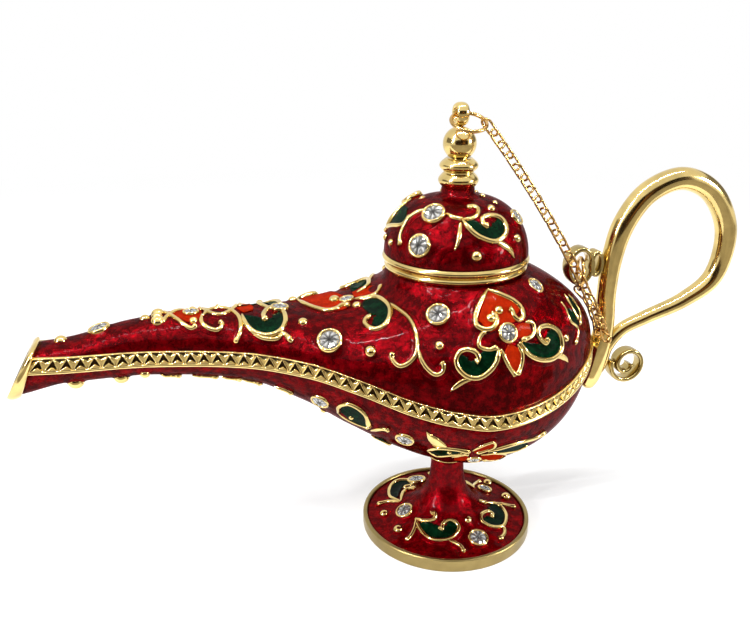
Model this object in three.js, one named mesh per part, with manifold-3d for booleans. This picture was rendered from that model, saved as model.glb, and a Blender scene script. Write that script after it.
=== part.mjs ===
// Genie lamp: an enamelled, gold-plated trinket lamp on a foot, with a lift-off lid held by a chain.
// Millimetres, +Z up. The origin is the centre of the foot's underside.
// The spout points along -X, the handle along +X, and XZ is the plane of symmetry.

import * as THREE from 'three';
import { mergeVertices } from 'three/addons/utils/BufferGeometryUtils.js';
import Module from 'manifold-3d';

const wasm = await Module();
wasm.setup();

// Fits
const SEAT_GAP = 0.1; // between turned pieces that rest on each other
const SOLDER_GAP = 0.3; // between a cast piece and the freeform shell it is soldered to

// Foot and stem
const FOOT_DIAMETER = 34.4;
const FOOT_RIM_HEIGHT = 2.7;
const FOOT_RIM_WALL = 1.4;
const DISH_EDGE = 2.3; // height of the enamelled dish where it meets the gold rim
const STEM_DIAMETER = 6.6;
const PEDESTAL_HEIGHT = 15.6;
const STEM_RING_DIAMETER = 8.4;
const STEM_RING_HEIGHT = 1.2;

// Bowl and spout, measured from the seam between the two half shells
const BOWL_WIDTH = 46;
const BOWL_DEPTH = 16.2;
const BOSS_HEIGHT = 1.6; // foot of the bowl above the stem ring
const BOSS_SPREAD = 2.4; // how far the boss flares beyond the stem ring
const CROWN_RISE = 24; // where the shoulders would meet if the neck were not cut
const STERN_REACH = 28.6;
const STERN_LIFT = 3.8;
const SPOUT_REACH = 75;
const SPOUT_WIDTH = 8;
const SPOUT_RISE = 10;
const SPOUT_CROWN = 2.2;
const SPOUT_KEEL = 6.4;
const SHELL_WALL = 1.6;
const CAVITY_REACH = 36; // how far the hollow runs towards the spout
const MOUTH_SLANT = 0.42; // lean of the spout's cut end, run over rise

// Zig-zag band on the seam
const BAND_HEIGHT = 2.8;
const BAND_WALL = 1.5;
const BAND_PROUD = 0.5;
const PIT_DEPTH = 0.42;
const TOOTH_PITCH = 2.25;
const BAND_RIM = 0.5; // height of the plain edges above and below the teeth

// Spout lip
const LIP_LENGTH = 0.9; // along the seam
const LIP_LEAN = 0.15; // extra lean of the lip's front edge
const LIP_PROUD = 0.45;
const MOUTH_WALL = 1.1;
const MOUTH_DEPTH = 3.2;

// Neck, lid and finial
const NECK_RISE = 20.9; // seam to the top of the shell's neck
const NECK_DIAMETER = 26.4;
const NECK_BORE = 23.2;
const COLLAR_HEIGHT = 1.4;
const LID_DIAMETER = 27.2;
const LID_RIM_HEIGHT = 1.4;
const LID_DOME_HEIGHT = 11.7;
const LID_WALL = 1.8;
const LID_NECK_DIAMETER = 6;
const SPIGOT_DEPTH = 3.2;
const SPIGOT_WALL = 1.3;
const SPIGOT_CLEARANCE = 0.4;
const LOWER_BEAD_DIAMETER = 7.3;
const UPPER_BEAD_DIAMETER = 7;
const BEAD_HEIGHT = 2.6;
const BALL_DIAMETER = 6;
const EYE_HEIGHT = 4.6;
const EYE_WIDTH = 3.8;
const EYE_THICKNESS = 2.6;
const EYE_BORE = 2;

// Crystals, each in a cup on the enamel
const CRYSTAL_RISE = 0.5; // height of a crystal as a share of its radius
const CRYSTAL_TABLE = 0.5; // radius of its flat top, likewise
const CRYSTAL_GAP = 0.12; // solder under the cup
const CRYSTAL_CLEAR = 0.3; // least distance from a cup's edge to the neck
// how far along the hull, share of the way up from the seam to the crest, diameter
const SHOULDER_CRYSTALS = [[-26, 0.69, 4.6], [-8, 0.82, 4.3], [2.5, 0.62, 3.7], [11, 0.895, 3.4]];
// how far along the hull and diameter, on the crest
const CREST_CRYSTALS = [[-64.2, 3.9], [-48.5, 2.9], [-33, 3.4], [-20.6, 2.8]];
// degrees round from the handle, share of the way up the dome's quarter oval, diameter
const LID_CRYSTALS = [[135, 0.62, 4.3], [138, 0.243, 4.3], [36, 0.492, 3.2]];

// Handle
const HANDLE_DEPTH = 3; // width of the rolled strips across the plane of symmetry
const STRIP_THICKNESS = 1.05;
const VOLUTE_RADIUS = 3.65;
const VOLUTE_TURNS = 1.5;
const VOLUTE_TIGHTENING = 0.74;
const HANDLE_EYE_WIDTH = 5.9;
const HANDLE_EYE_HEIGHT = 7.8;
const CURL_WIDTH = 3.2;
const CURL_HEIGHT = 5.4;

// Chain
const LINK_LENGTH = 4.1;
const LINK_WIDTH = 2.5;
const LINK_WIRE = 0.45;
const CHAIN_PITCH = 2.53; // slack spacing of the links while the lid is on
const CHAIN_SAG = 1.4;
const JUMP_RING_WIRE = 0.7;
const FINIAL_RING_DIAMETER = 6.2;
const EYE_RING_DIAMETER = 6.3;
const RING_TILT = 0.42; // how far the finial's ring leans forward and down, in radians
const HOOK_SLACK = 0.4; // a ring's wire lies this far inside the end of its link
const HOOK_ANGLE = 0.2; // where the first link hangs on the finial's ring, in radians from +X
const BEND_SLACK = 0.3; // how far a link eases aside where the chain turns sharply
const EYE_RING_TURN = -0.3; // turn of the ring in the handle's eye, in radians
const LINK_ROLL = 0.6; // roll of the first link about the strand, in radians

// Facets
const LATHE_SIDES = 36;
const SMALL_LATHE_SIDES = 22;
const CRYSTAL_SIDES = 8;
const SECTION_STEPS = 12;
const TUBE_SIDES = 10;

// Heights worked out from the stack of pieces
const STEM_RING_Z = PEDESTAL_HEIGHT + SEAT_GAP;
const BOSS_Z = STEM_RING_Z + STEM_RING_HEIGHT + SEAT_GAP;
const SEAM_Z = BOSS_Z + BOSS_HEIGHT + BOWL_DEPTH;
const NECK_Z = SEAM_Z + NECK_RISE;
const COLLAR_Z = NECK_Z + SEAT_GAP;
const LID_Z = COLLAR_Z + COLLAR_HEIGHT + SEAT_GAP;
const DOME_Z = LID_Z + LID_RIM_HEIGHT + SEAT_GAP;
const FINIAL_Z = DOME_Z + LID_DOME_HEIGHT + SEAT_GAP;
const UPPER_BEAD_Z = FINIAL_Z + BEAD_HEIGHT;
const BALL_Z = UPPER_BEAD_Z + BEAD_HEIGHT + 0.42 * BALL_DIAMETER;
const EYE_TOP_Z = BALL_Z + 0.42 * BALL_DIAMETER + EYE_HEIGHT;
const EYE_BORE_Z = EYE_TOP_Z - EYE_WIDTH / 2;

// Finishes
const finish = (color, roughness, metalness) => new THREE.MeshStandardMaterial({ color, roughness, metalness });
const RED_ENAMEL = finish(0xa5070f, 0.15, 0.1);
const GOLD = finish(0xd9b45a, 0.2, 1);
const CRYSTAL = finish(0xe8edf2, 0.05, 0);

const lamp = new THREE.Group();
lamp.name = 'genie_lamp';

function addPiece(name, geometry, material) {
  const mesh = new THREE.Mesh(geometry, material);
  mesh.name = name;
  lamp.add(mesh);
  return mesh;
}

// Merge shared vertices, drop the empty triangles at poles, and turn the faces outwards.
function closed(geometry) {
  geometry.deleteAttribute('normal');
  geometry.deleteAttribute('uv');
  const merged = mergeVertices(geometry, 1e-4);
  const position = merged.attributes.position;
  const index = [];
  let volume = 0;
  const [a, b, c] = [new THREE.Vector3(), new THREE.Vector3(), new THREE.Vector3()];
  for (let i = 0; i < merged.index.count; i += 3) {
    const [p, q, r] = [0, 1, 2].map((k) => merged.index.getX(i + k));
    if (p === q || q === r || r === p) continue;
    index.push(p, q, r);
    a.fromBufferAttribute(position, p);
    b.fromBufferAttribute(position, q);
    c.fromBufferAttribute(position, r);
    volume += a.dot(b.cross(c));
  }
  merged.setIndex(volume < 0 ? index.reverse() : index);
  return merged;
}

function toSolid(geometry) {
  const shell = closed(geometry);
  return new wasm.Manifold(new wasm.Mesh({
    numProp: 3,
    vertProperties: new Float32Array(shell.attributes.position.array),
    triVerts: new Uint32Array(shell.index.array),
  }));
}

function toGeometry(solid) {
  const mesh = solid.getMesh();
  const geometry = new THREE.BufferGeometry();
  geometry.setAttribute('position', new THREE.BufferAttribute(mesh.vertProperties, 3));
  geometry.setIndex(new THREE.BufferAttribute(mesh.triVerts, 1));
  return geometry;
}

// A turned piece about Z from [radius, height] points.
function turned(profile, sides = LATHE_SIDES) {
  const points = profile.map(([r, z]) => new THREE.Vector2(r, z));
  return closed(new THREE.LatheGeometry(points, sides).rotateX(Math.PI / 2));
}

// Half of a bead's outline: an ellipse bulge from the bottom to the top of the bead.
function bead(z, height, diameter, waist, steps = 5) {
  const points = [];
  for (let i = 0; i <= steps; i += 1) {
    const angle = Math.PI * (i / steps - 0.5);
    points.push([waist / 2 + ((diameter - waist) / 2) * Math.cos(angle), z + height * (i / steps)]);
  }
  return points;
}

// Rings of points joined into a closed skin; a ring of one point makes a pole.
function loft(rings) {
  const points = [];
  const starts = [];
  for (const ring of rings) {
    starts.push(points.length);
    points.push(...ring);
  }
  const index = [];
  for (let i = 0; i + 1 < rings.length; i += 1) {
    const n = Math.max(rings[i].length, rings[i + 1].length);
    const at = (k, j) => starts[k] + (rings[k].length === 1 ? 0 : j % n);
    for (let j = 0; j < n; j += 1) {
      index.push(at(i, j), at(i, j + 1), at(i + 1, j + 1));
      index.push(at(i, j), at(i + 1, j + 1), at(i + 1, j));
    }
  }
  for (const [k, turn] of [[0, 1], [rings.length - 1, -1]]) {
    const n = rings[k].length;
    if (n === 1) continue;
    const middle = new THREE.Vector3();
    for (const p of rings[k]) middle.addScaledVector(p, 1 / n);
    points.push(middle);
    for (let j = 0; j < n; j += 1) {
      const pair = [starts[k] + j, starts[k] + ((j + 1) % n)];
      if (turn > 0) pair.reverse();
      index.push(points.length - 1, ...pair);
    }
  }
  const geometry = new THREE.BufferGeometry().setFromPoints(points);
  geometry.setIndex(index);
  return geometry;
}

// Smooth curve through [at, value] pairs with no overshoot between them.
function smoothThrough(table, column, at) {
  const x = table.map((row) => row[0]);
  const y = table.map((row) => row[column]);
  const slope = x.slice(1).map((_, i) => (y[i + 1] - y[i]) / (x[i + 1] - x[i]));
  const tangent = y.map((_, i) => {
    if (i === 0) return slope[0];
    if (i === y.length - 1) return slope[i - 1];
    const [before, after] = [slope[i - 1], slope[i]];
    return before * after > 0 ? (2 * before * after) / (before + after) : 0;
  });
  let k = 0;
  while (k < x.length - 2 && at > x[k + 1]) k += 1;
  const h = x[k + 1] - x[k];
  const t = THREE.MathUtils.clamp((at - x[k]) / h, 0, 1);
  return THREE.MathUtils.lerp(y[k], y[k + 1], t * t * (3 - 2 * t))
    + h * t * (1 - t) * ((1 - t) * tangent[k] - t * tangent[k + 1]);
}

// The hull of bowl and spout. Towards the spout each row gives, at a share of the spout's reach:
// the swell from spout width to bowl width, the seam's climb from bowl to tip, and the growth of
// the crown above the seam and of the keel below it. Towards the stern all four follow ovals.
const SPOUT_SHAPE = [
  [-1.0, 0, 1.0, 0, 0],
  [-0.92, 0.015, 0.985, 0.037, -0.17],
  [-0.79, 0.045, 1.0, 0.128, -0.18],
  [-0.66, 0.095, 0.97, 0.175, -0.14],
  [-0.53, 0.2, 0.92, 0.188, -0.02],
  [-0.4, 0.41, 0.8, 0.225, 0.335],
  [-0.29, 0.63, 0.57, 0.355, 0.655],
  [-0.18, 0.83, 0.27, 0.6, 0.835],
  [-0.09, 0.95, 0.1, 0.825, 0.945],
  [0, 1, 0, 1, 1],
];
const PLAN_OVAL = 1.55;
const CROWN_OVAL = 1.8;
const KEEL_OVAL = 2.6;
const LIFT_POWER = 2.7;
const UPPER_SQUARENESS = 2.5; // exponents of the oval cross-sections
const LOWER_SQUARENESS = 2;

function hullAt(x) {
  if (x > 0) {
    const u = Math.min(x / STERN_REACH, 1);
    const oval = (n) => (1 - u ** n) ** (1 / n);
    return {
      half: (BOWL_WIDTH / 2) * oval(PLAN_OVAL),
      seam: SEAM_Z + STERN_LIFT * u ** LIFT_POWER,
      crown: CROWN_RISE * oval(CROWN_OVAL),
      keel: BOWL_DEPTH * oval(KEEL_OVAL),
    };
  }
  const u = Math.max(x / SPOUT_REACH, -1);
  const [swell, climb, crown, keel] = [1, 2, 3, 4].map((column) => smoothThrough(SPOUT_SHAPE, column, u));
  return {
    half: THREE.MathUtils.lerp(SPOUT_WIDTH / 2, BOWL_WIDTH / 2, swell),
    seam: SEAM_Z + SPOUT_RISE * climb,
    crown: THREE.MathUtils.lerp(SPOUT_CROWN, CROWN_RISE, crown),
    keel: THREE.MathUtils.lerp(SPOUT_KEEL, BOWL_DEPTH, keel),
  };
}

// Sections lean with the mouth near the spout's tip and stand upright from the middle of the spout.
const LEAN_START = 0.76; // share of the spout's reach where the lean begins
function leanAt(x) {
  const t = THREE.MathUtils.clamp((-x / SPOUT_REACH - LEAN_START) / (1 - LEAN_START), 0, 1);
  return MOUTH_SLANT * t * t;
}

// One half section of the hull at x, as an arch that starts `inset` away from the seam.
// `shrink` thins the section on all sides, and side is +1 for the upper half, -1 for the lower.
function arch(x, side, inset, shrink = 0, lean = leanAt(x), shift = 0) {
  const hull = hullAt(x);
  const half = hull.half - shrink;
  const reach = (side > 0 ? hull.crown : hull.keel) - shrink;
  const power = 2 / (side > 0 ? UPPER_SQUARENESS : LOWER_SQUARENESS);
  const start = Math.asin(Math.min(0.98, (inset / reach) ** (1 / power)));
  const ring = [];
  for (let i = 0; i <= SECTION_STEPS; i += 1) {
    const angle = start + (Math.PI - 2 * start) * (i / SECTION_STEPS);
    const [c, s] = [Math.cos(angle), Math.sin(angle)];
    const rise = i % SECTION_STEPS === 0 ? inset : reach * s ** power;
    const z = hull.seam + side * rise;
    const y = half * Math.sign(c) * Math.abs(c) ** power;
    ring.push(new THREE.Vector3(x + shift + lean * (z - hull.seam), y, z));
  }
  return ring;
}

// Stations along the hull, closer together where the stern rounds off.
function stations(from, to, count) {
  const places = [];
  for (let i = 0; i <= count; i += 1) places.push(to - (to - from) * (1 - i / count) ** 1.35);
  return places;
}

const SEAM_INSET = BAND_HEIGHT / 2 + SEAT_GAP * 1.5;
const SHELL_STATIONS = 26;
const CAVITY_STATIONS = 12;
const STERN_SHARE = 0.985; // the last full section before the stern closes

function halfHull(side) {
  const places = stations(-SPOUT_REACH, STERN_REACH * STERN_SHARE, SHELL_STATIONS);
  return toSolid(loft(places.map((x) => arch(x, side, Math.min(SEAM_INSET, 0.9 * archReach(x, side))))));
}

function archReach(x, side) {
  const hull = hullAt(x);
  return side > 0 ? hull.crown : hull.keel;
}

function halfCavity(side) {
  const end = STERN_REACH * 0.93 - SHELL_WALL;
  const places = stations(-CAVITY_REACH, end, CAVITY_STATIONS);
  const rings = places.map((x) => arch(x, side, 0, SHELL_WALL));
  return toSolid(loft(rings));
}

// A blind recess behind the mouth, shared by the lip and the two shells.
function mouthRecess() {
  const ring = (depth) => {
    const x = -SPOUT_REACH;
    const shift = depth - LIP_LENGTH;
    const lean = MOUTH_SLANT + (depth < LIP_LENGTH ? LIP_LEAN : 0);
    const upper = arch(x, 1, 0, MOUTH_WALL, lean, shift);
    const lower = arch(x, -1, 0, MOUTH_WALL, lean, shift).reverse();
    return [...upper, ...lower.slice(1, -1)];
  };
  return toSolid(loft([ring(-1), ring(LIP_LENGTH), ring(MOUTH_DEPTH)]));
}

// Foot and stem
const dishRadius = FOOT_DIAMETER / 2 - FOOT_RIM_WALL - SEAT_GAP;
const stemRadius = STEM_DIAMETER / 2;
function flare(t) {
  // from the dish's edge (t = 0) in to the top of the stem (t = 1), as one concave sweep
  const r = stemRadius + (dishRadius - stemRadius) * (1 - t) ** 2.6;
  const z = DISH_EDGE + (PEDESTAL_HEIGHT - DISH_EDGE) * t ** 1.6;
  return [r, z];
}
const sweep = Array.from({ length: 11 }, (_, i) => flare(i / 10));
addPiece('pedestal', turned([[0, 0], [dishRadius, 0], ...sweep, [0, PEDESTAL_HEIGHT]]), RED_ENAMEL);

const footRadius = FOOT_DIAMETER / 2;
const rimEdge = 0.35; // rounding of the foot rim's edges
addPiece('foot_rim', turned([
  [footRadius - FOOT_RIM_WALL, 0],
  [footRadius - rimEdge, 0],
  [footRadius, rimEdge],
  [footRadius, FOOT_RIM_HEIGHT - rimEdge],
  [footRadius - rimEdge, FOOT_RIM_HEIGHT],
  [footRadius - FOOT_RIM_WALL + rimEdge, FOOT_RIM_HEIGHT],
  [footRadius - FOOT_RIM_WALL, FOOT_RIM_HEIGHT - rimEdge],
  [footRadius - FOOT_RIM_WALL, 0],
]), GOLD);

addPiece('stem_ring', turned([
  [0, STEM_RING_Z],
  ...bead(STEM_RING_Z, STEM_RING_HEIGHT, STEM_RING_DIAMETER, STEM_DIAMETER),
  [0, STEM_RING_Z + STEM_RING_HEIGHT],
], SMALL_LATHE_SIDES), GOLD);

// Half shells
const bossRadius = STEM_RING_DIAMETER / 2 - 0.2;
const bossTop = BOSS_Z + BOSS_HEIGHT + 0.8 * SHELL_WALL;
const boss = toSolid(turned([
  [0, BOSS_Z],
  [bossRadius, BOSS_Z],
  [bossRadius + 0.15 * BOSS_SPREAD, BOSS_Z + 0.5 * BOSS_HEIGHT],
  [bossRadius + BOSS_SPREAD, BOSS_Z + 1.25 * BOSS_HEIGHT],
  [bossRadius + BOSS_SPREAD, bossTop],
  [0, bossTop],
], SMALL_LATHE_SIDES));

// A tongue on the lower shell fills the spout between the two arms of the band.
function spoutTongue() {
  const places = stations(-SPOUT_REACH, -CAVITY_REACH - SHELL_WALL, 10);
  const rings = places.map((x) => {
    const hull = hullAt(x);
    const half = hull.half - BAND_WALL - SOLDER_GAP;
    const [low, high] = [hull.seam - BAND_HEIGHT, hull.seam + BAND_HEIGHT / 2];
    const corner = (y, z) => new THREE.Vector3(x + leanAt(x) * (z - hull.seam), y, z);
    return [corner(half, low), corner(half, high), corner(-half, high), corner(-half, low)];
  });
  return toSolid(loft(rings));
}
const recess = mouthRecess();
const lowerShell = halfHull(-1).subtract(halfCavity(-1)).add(boss).add(spoutTongue()).subtract(recess);
addPiece('lower_shell', toGeometry(lowerShell), RED_ENAMEL);

const neckRadius = NECK_DIAMETER / 2;
const coveHeight = 4.2;
const coveSpread = 3.4;
const cove = [0, 0.25, 0.5, 0.75, 1].map((t) => [
  neckRadius - 0.3 + coveSpread * (1 - t) ** 2,
  NECK_Z - coveHeight * (1 - t),
]);
const neckFoot = NECK_Z - coveHeight - SHELL_WALL; // buried in the shell
const neck = toSolid(turned([
  [0, neckFoot],
  [cove[0][0], neckFoot],
  ...cove,
  [0, NECK_Z],
]));
const aboveNeck = toSolid(turned([
  [0, NECK_Z], [neckRadius + 3, NECK_Z], [neckRadius + 3, NECK_Z + CROWN_RISE], [0, NECK_Z + CROWN_RISE],
]));
const neckBore = toSolid(turned([
  [0, SEAM_Z], [NECK_BORE / 2, SEAM_Z], [NECK_BORE / 2, NECK_Z + CROWN_RISE], [0, NECK_Z + CROWN_RISE],
]));
const upperShell = halfHull(1).add(neck).subtract(halfCavity(1))
  .subtract(aboveNeck).subtract(neckBore).subtract(recess);
addPiece('upper_shell', toGeometry(upperShell), RED_ENAMEL);

// Zig-zag band: a strip carried round the seam from one side of the lip to the other.
function seamPath() {
  const samples = [];
  const fine = 400;
  for (let i = 0; i <= fine; i += 1) {
    const x = -SPOUT_REACH + (SPOUT_REACH + STERN_REACH) * (1 - (1 - i / fine) ** 2);
    samples.push(new THREE.Vector2(x, -hullAt(x).half));
  }
  const mirrored = samples.slice(0, -1).reverse().map((p) => new THREE.Vector2(p.x, -p.y));
  const plan = [...samples, ...mirrored];
  const along = [0];
  for (let i = 1; i < plan.length; i += 1) along.push(along[i - 1] + plan[i].distanceTo(plan[i - 1]));
  const length = along[along.length - 1];
  const at = (s) => {
    let k = 0;
    while (k < along.length - 2 && along[k + 1] < s) k += 1;
    const t = (s - along[k]) / (along[k + 1] - along[k]);
    return plan[k].clone().lerp(plan[k + 1], t);
  };
  return { length, at };
}

function zigzagBand() {
  const { length, at } = seamPath();
  const teeth = 2 * Math.round(length / TOOTH_PITCH / 2);
  const pitch = length / teeth;
  const half = BAND_HEIGHT / 2;
  // a point of the strip: distance along, distance out from the hull, height from the seam
  const place = (s, out, rise) => {
    const here = at(s);
    const step = pitch / 2;
    const run = at(Math.min(s + step, length)).sub(at(Math.max(s - step, 0))).normalize();
    const [x, y] = [here.x + run.y * out, here.y - run.x * out];
    const z = hullAt(THREE.MathUtils.clamp(x, -SPOUT_REACH, STERN_REACH)).seam + rise;
    return new THREE.Vector3(x + leanAt(x) * rise, y, z);
  };
  const lowerAt = Array.from({ length: teeth + 1 }, (_, k) => k * pitch);
  const upperAt = [0, ...Array.from({ length: teeth }, (_, k) => (k + 0.5) * pitch), length];
  const points = [];
  const row = (places, out, rise) => places.map((s) => points.push(place(s, out, rise)) - 1);
  const inLow = row(lowerAt, -BAND_WALL, -half);
  const outLow = row(lowerAt, 0.6 * BAND_PROUD, -half);
  const toothLow = row(lowerAt, BAND_PROUD, -half + BAND_RIM);
  const toothHigh = row(upperAt, BAND_PROUD, half - BAND_RIM);
  const outHigh = row(upperAt, 0.6 * BAND_PROUD, half);
  const inHigh = row(upperAt, -BAND_WALL, half);
  const index = [];
  const face = (...loop) => {
    for (let i = 1; i + 1 < loop.length; i += 1) index.push(loop[0], loop[i], loop[i + 1]);
  };
  const pit = (a, b, c) => {
    const middle = points[a].clone().add(points[b]).add(points[c]).divideScalar(3);
    const normal = points[b].clone().sub(points[a]).cross(points[c].clone().sub(points[a])).normalize();
    const bottom = points.push(middle.addScaledVector(normal, -PIT_DEPTH)) - 1;
    face(a, b, bottom);
    face(b, c, bottom);
    face(c, a, bottom);
  };
  for (let k = 0; k < teeth; k += 1) {
    face(inLow[k], inLow[k + 1], outLow[k + 1], outLow[k]);
    face(outLow[k], outLow[k + 1], toothLow[k + 1], toothLow[k]);
    pit(toothLow[k], toothLow[k + 1], toothHigh[k + 1]);
  }
  for (let k = 0; k <= teeth; k += 1) {
    if (k === 0 || k === teeth) face(toothLow[k], toothHigh[k + 1], toothHigh[k]);
    else pit(toothLow[k], toothHigh[k + 1], toothHigh[k]);
    face(toothHigh[k], toothHigh[k + 1], outHigh[k + 1], outHigh[k]);
    face(outHigh[k], outHigh[k + 1], inHigh[k + 1], inHigh[k]);
  }
  // the inner wall is a fan between the two staggered rows
  for (let k = 0; k < teeth; k += 1) {
    face(inLow[k + 1], inLow[k], inHigh[k + 1]);
    face(inHigh[k + 1], inLow[k], inHigh[k]);
  }
  face(inLow[teeth], inHigh[teeth], inHigh[teeth + 1]);
  face(inLow[0], outLow[0], toothLow[0], toothHigh[0], outHigh[0], inHigh[0]);
  const end = [inLow, outLow, toothLow].map((r) => r[teeth]);
  const endHigh = [toothHigh, outHigh, inHigh].map((r) => r[teeth + 1]);
  face(...[...end, ...endHigh].reverse());
  const geometry = new THREE.BufferGeometry().setFromPoints(points);
  geometry.setIndex(index);
  return closed(geometry);
}
addPiece('seam_band', toGeometry(toSolid(zigzagBand()).subtract(recess)), GOLD);

// Spout lip: a thick slanted rim in front of the shells and the band.
function spoutLip() {
  const ring = (share, grow) => {
    const x = -SPOUT_REACH;
    const shift = -SOLDER_GAP - LIP_LENGTH * share;
    const lean = MOUTH_SLANT + LIP_LEAN * share;
    const upper = arch(x, 1, 0, -grow, lean, shift);
    const lower = arch(x, -1, 0, -grow, lean, shift).reverse();
    return [...upper, ...lower.slice(1, -1)];
  };
  const outer = [[0, LIP_PROUD], [0.45, LIP_PROUD * 1.3], [0.85, LIP_PROUD * 0.9], [1, LIP_PROUD * 0.3]];
  return toSolid(loft(outer.map(([share, grow]) => ring(share, grow))));
}
addPiece('spout_lip', toGeometry(spoutLip().subtract(recess)), GOLD);

// Neck collar
const boreRadius = NECK_BORE / 2;
addPiece('neck_collar', turned([
  [boreRadius, COLLAR_Z],
  ...bead(COLLAR_Z, COLLAR_HEIGHT, NECK_DIAMETER, NECK_DIAMETER - 0.9, 4),
  [boreRadius, COLLAR_Z + COLLAR_HEIGHT],
  [boreRadius, COLLAR_Z],
]), GOLD);

// Lid: a gold rim with a spigot in the neck's bore, an enamelled dome and a turned finial
const spigotRadius = boreRadius - SPIGOT_CLEARANCE;
const spigotBore = spigotRadius - SPIGOT_WALL;
addPiece('lid_rim', turned([
  [spigotBore, LID_Z - SPIGOT_DEPTH],
  [spigotRadius, LID_Z - SPIGOT_DEPTH],
  [spigotRadius, LID_Z],
  ...bead(LID_Z, LID_RIM_HEIGHT, LID_DIAMETER, LID_DIAMETER - 0.9, 4),
  [spigotBore, LID_Z + LID_RIM_HEIGHT],
  [spigotBore, LID_Z - SPIGOT_DEPTH],
]), GOLD);

const domeRadius = LID_DIAMETER / 2 - 0.3;
const lidNeckRadius = LID_NECK_DIAMETER / 2;
const domeShare = 0.88; // of the dome's height before the neck takes over
function domePoint(t, shrink) {
  // a full-shouldered quarter oval from the rim (t = 0) to the neck (t = 1)
  const angle = (Math.PI / 2) * t;
  const reach = domeRadius - shrink - lidNeckRadius * 0.9;
  return [
    lidNeckRadius * 0.9 + reach * Math.cos(angle) ** 0.85,
    DOME_Z + (LID_DOME_HEIGHT * domeShare - shrink) * Math.sin(angle) ** 1.05,
  ];
}
const domeSteps = [0, 0.14, 0.28, 0.42, 0.56, 0.7, 0.83, 0.94];
addPiece('lid_dome', turned([
  ...domeSteps.map((t) => domePoint(t, 0)),
  [lidNeckRadius, DOME_Z + LID_DOME_HEIGHT * 0.93],
  [lidNeckRadius, DOME_Z + LID_DOME_HEIGHT],
  [0, DOME_Z + LID_DOME_HEIGHT],
  [0, domePoint(1, LID_WALL)[1]],
  ...domeSteps.filter((_, i) => i % 2 === 0).reverse().map((t) => domePoint(t, LID_WALL)),
  domePoint(0, 0),
]), RED_ENAMEL);

function finial() {
  const ball = [];
  for (let i = 1; i <= 7; i += 1) {
    const angle = Math.PI * (i / 8 - 0.5);
    ball.push([(BALL_DIAMETER / 2) * Math.cos(angle), BALL_Z + (BALL_DIAMETER / 2) * Math.sin(angle)]);
  }
  const stem = toSolid(turned([
    [0, FINIAL_Z],
    ...bead(FINIAL_Z, BEAD_HEIGHT, LOWER_BEAD_DIAMETER, LID_NECK_DIAMETER - 0.4),
    ...bead(UPPER_BEAD_Z, BEAD_HEIGHT, UPPER_BEAD_DIAMETER, LID_NECK_DIAMETER - 1.2).slice(1),
    ...ball,
    [0, BALL_Z + 0.47 * BALL_DIAMETER],
  ], SMALL_LATHE_SIDES));
  const loop = new THREE.Shape();
  const foot = BALL_Z + 0.3 * BALL_DIAMETER;
  loop.moveTo(-EYE_WIDTH / 3, foot);
  loop.lineTo(EYE_WIDTH / 3, foot);
  loop.lineTo(EYE_WIDTH / 2, EYE_BORE_Z);
  loop.absarc(0, EYE_BORE_Z, EYE_WIDTH / 2, 0, Math.PI, false);
  loop.lineTo(-EYE_WIDTH / 3, foot);
  const bore = new THREE.Path();
  bore.absarc(0, EYE_BORE_Z, EYE_BORE / 2, 0, 2 * Math.PI, true);
  loop.holes.push(bore);
  const edge = 0.4;
  const lug = new THREE.ExtrudeGeometry(loop, {
    depth: EYE_THICKNESS - 2 * edge,
    bevelEnabled: true,
    bevelThickness: edge,
    bevelSize: edge,
    bevelOffset: -edge,
    bevelSegments: 1,
    curveSegments: 6,
  });
  // the lug is drawn across Y and Z and its bore runs along X
  lug.translate(0, 0, edge - EYE_THICKNESS / 2).rotateX(Math.PI / 2).rotateZ(Math.PI / 2);
  return toGeometry(stem.add(toSolid(lug)));
}
addPiece('finial', finial(), GOLD);

// Crystals: a cup and its faceted stone as one body, upright at the origin, then turned to the surface.
function crystal(diameter) {
  const radius = diameter / 2;
  return turned([
    [0, CRYSTAL_GAP],
    [radius, CRYSTAL_GAP],
    [radius, CRYSTAL_GAP + 0.45 * CRYSTAL_RISE * radius],
    [CRYSTAL_TABLE * radius, CRYSTAL_GAP + CRYSTAL_RISE * radius],
    [0, CRYSTAL_GAP + CRYSTAL_RISE * radius],
  ], CRYSTAL_SIDES);
}

// `surface(a, b)` gives a point; a crystal stands on it along the direction square to both of its lines.
function crystalSeat(surface, a, b) {
  const step = 0.01;
  const along = surface(a + step, b).sub(surface(a - step, b));
  const up = surface(a, b + step).sub(surface(a, b - step));
  const normal = along.cross(up).normalize();
  const place = surface(a, b);
  if (normal.dot(place.clone().sub(new THREE.Vector3(place.x, 0, SEAM_Z))) < 0) normal.negate();
  return { place, normal };
}

function setCrystal(name, diameter, surface, a, b, mirrored = false) {
  const { place, normal } = crystalSeat(surface, a, b);
  if (mirrored) [place, normal].forEach((v) => v.setY(-v.y));
  const stone = addPiece(name, crystal(diameter), CRYSTAL);
  stone.quaternion.setFromUnitVectors(new THREE.Vector3(0, 0, 1), normal);
  stone.position.copy(place);
}

// A point of the upper shell's near side: place along the hull and angle up from the seam.
function shoulderPoint(x, angle) {
  const hull = hullAt(x);
  const power = 2 / UPPER_SQUARENESS;
  const rise = hull.crown * Math.sin(angle) ** power;
  const y = -hull.half * Math.sign(Math.cos(angle)) * Math.abs(Math.cos(angle)) ** power;
  return new THREE.Vector3(x + leanAt(x) * rise, y, hull.seam + rise);
}

// A point of the lid's dome: angle round from the handle, on the near side, and share of its quarter oval.
function lidPoint(angle, t) {
  const [r, z] = domePoint(t, 0);
  return new THREE.Vector3(r * Math.cos(angle), -r * Math.sin(angle), z);
}

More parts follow.
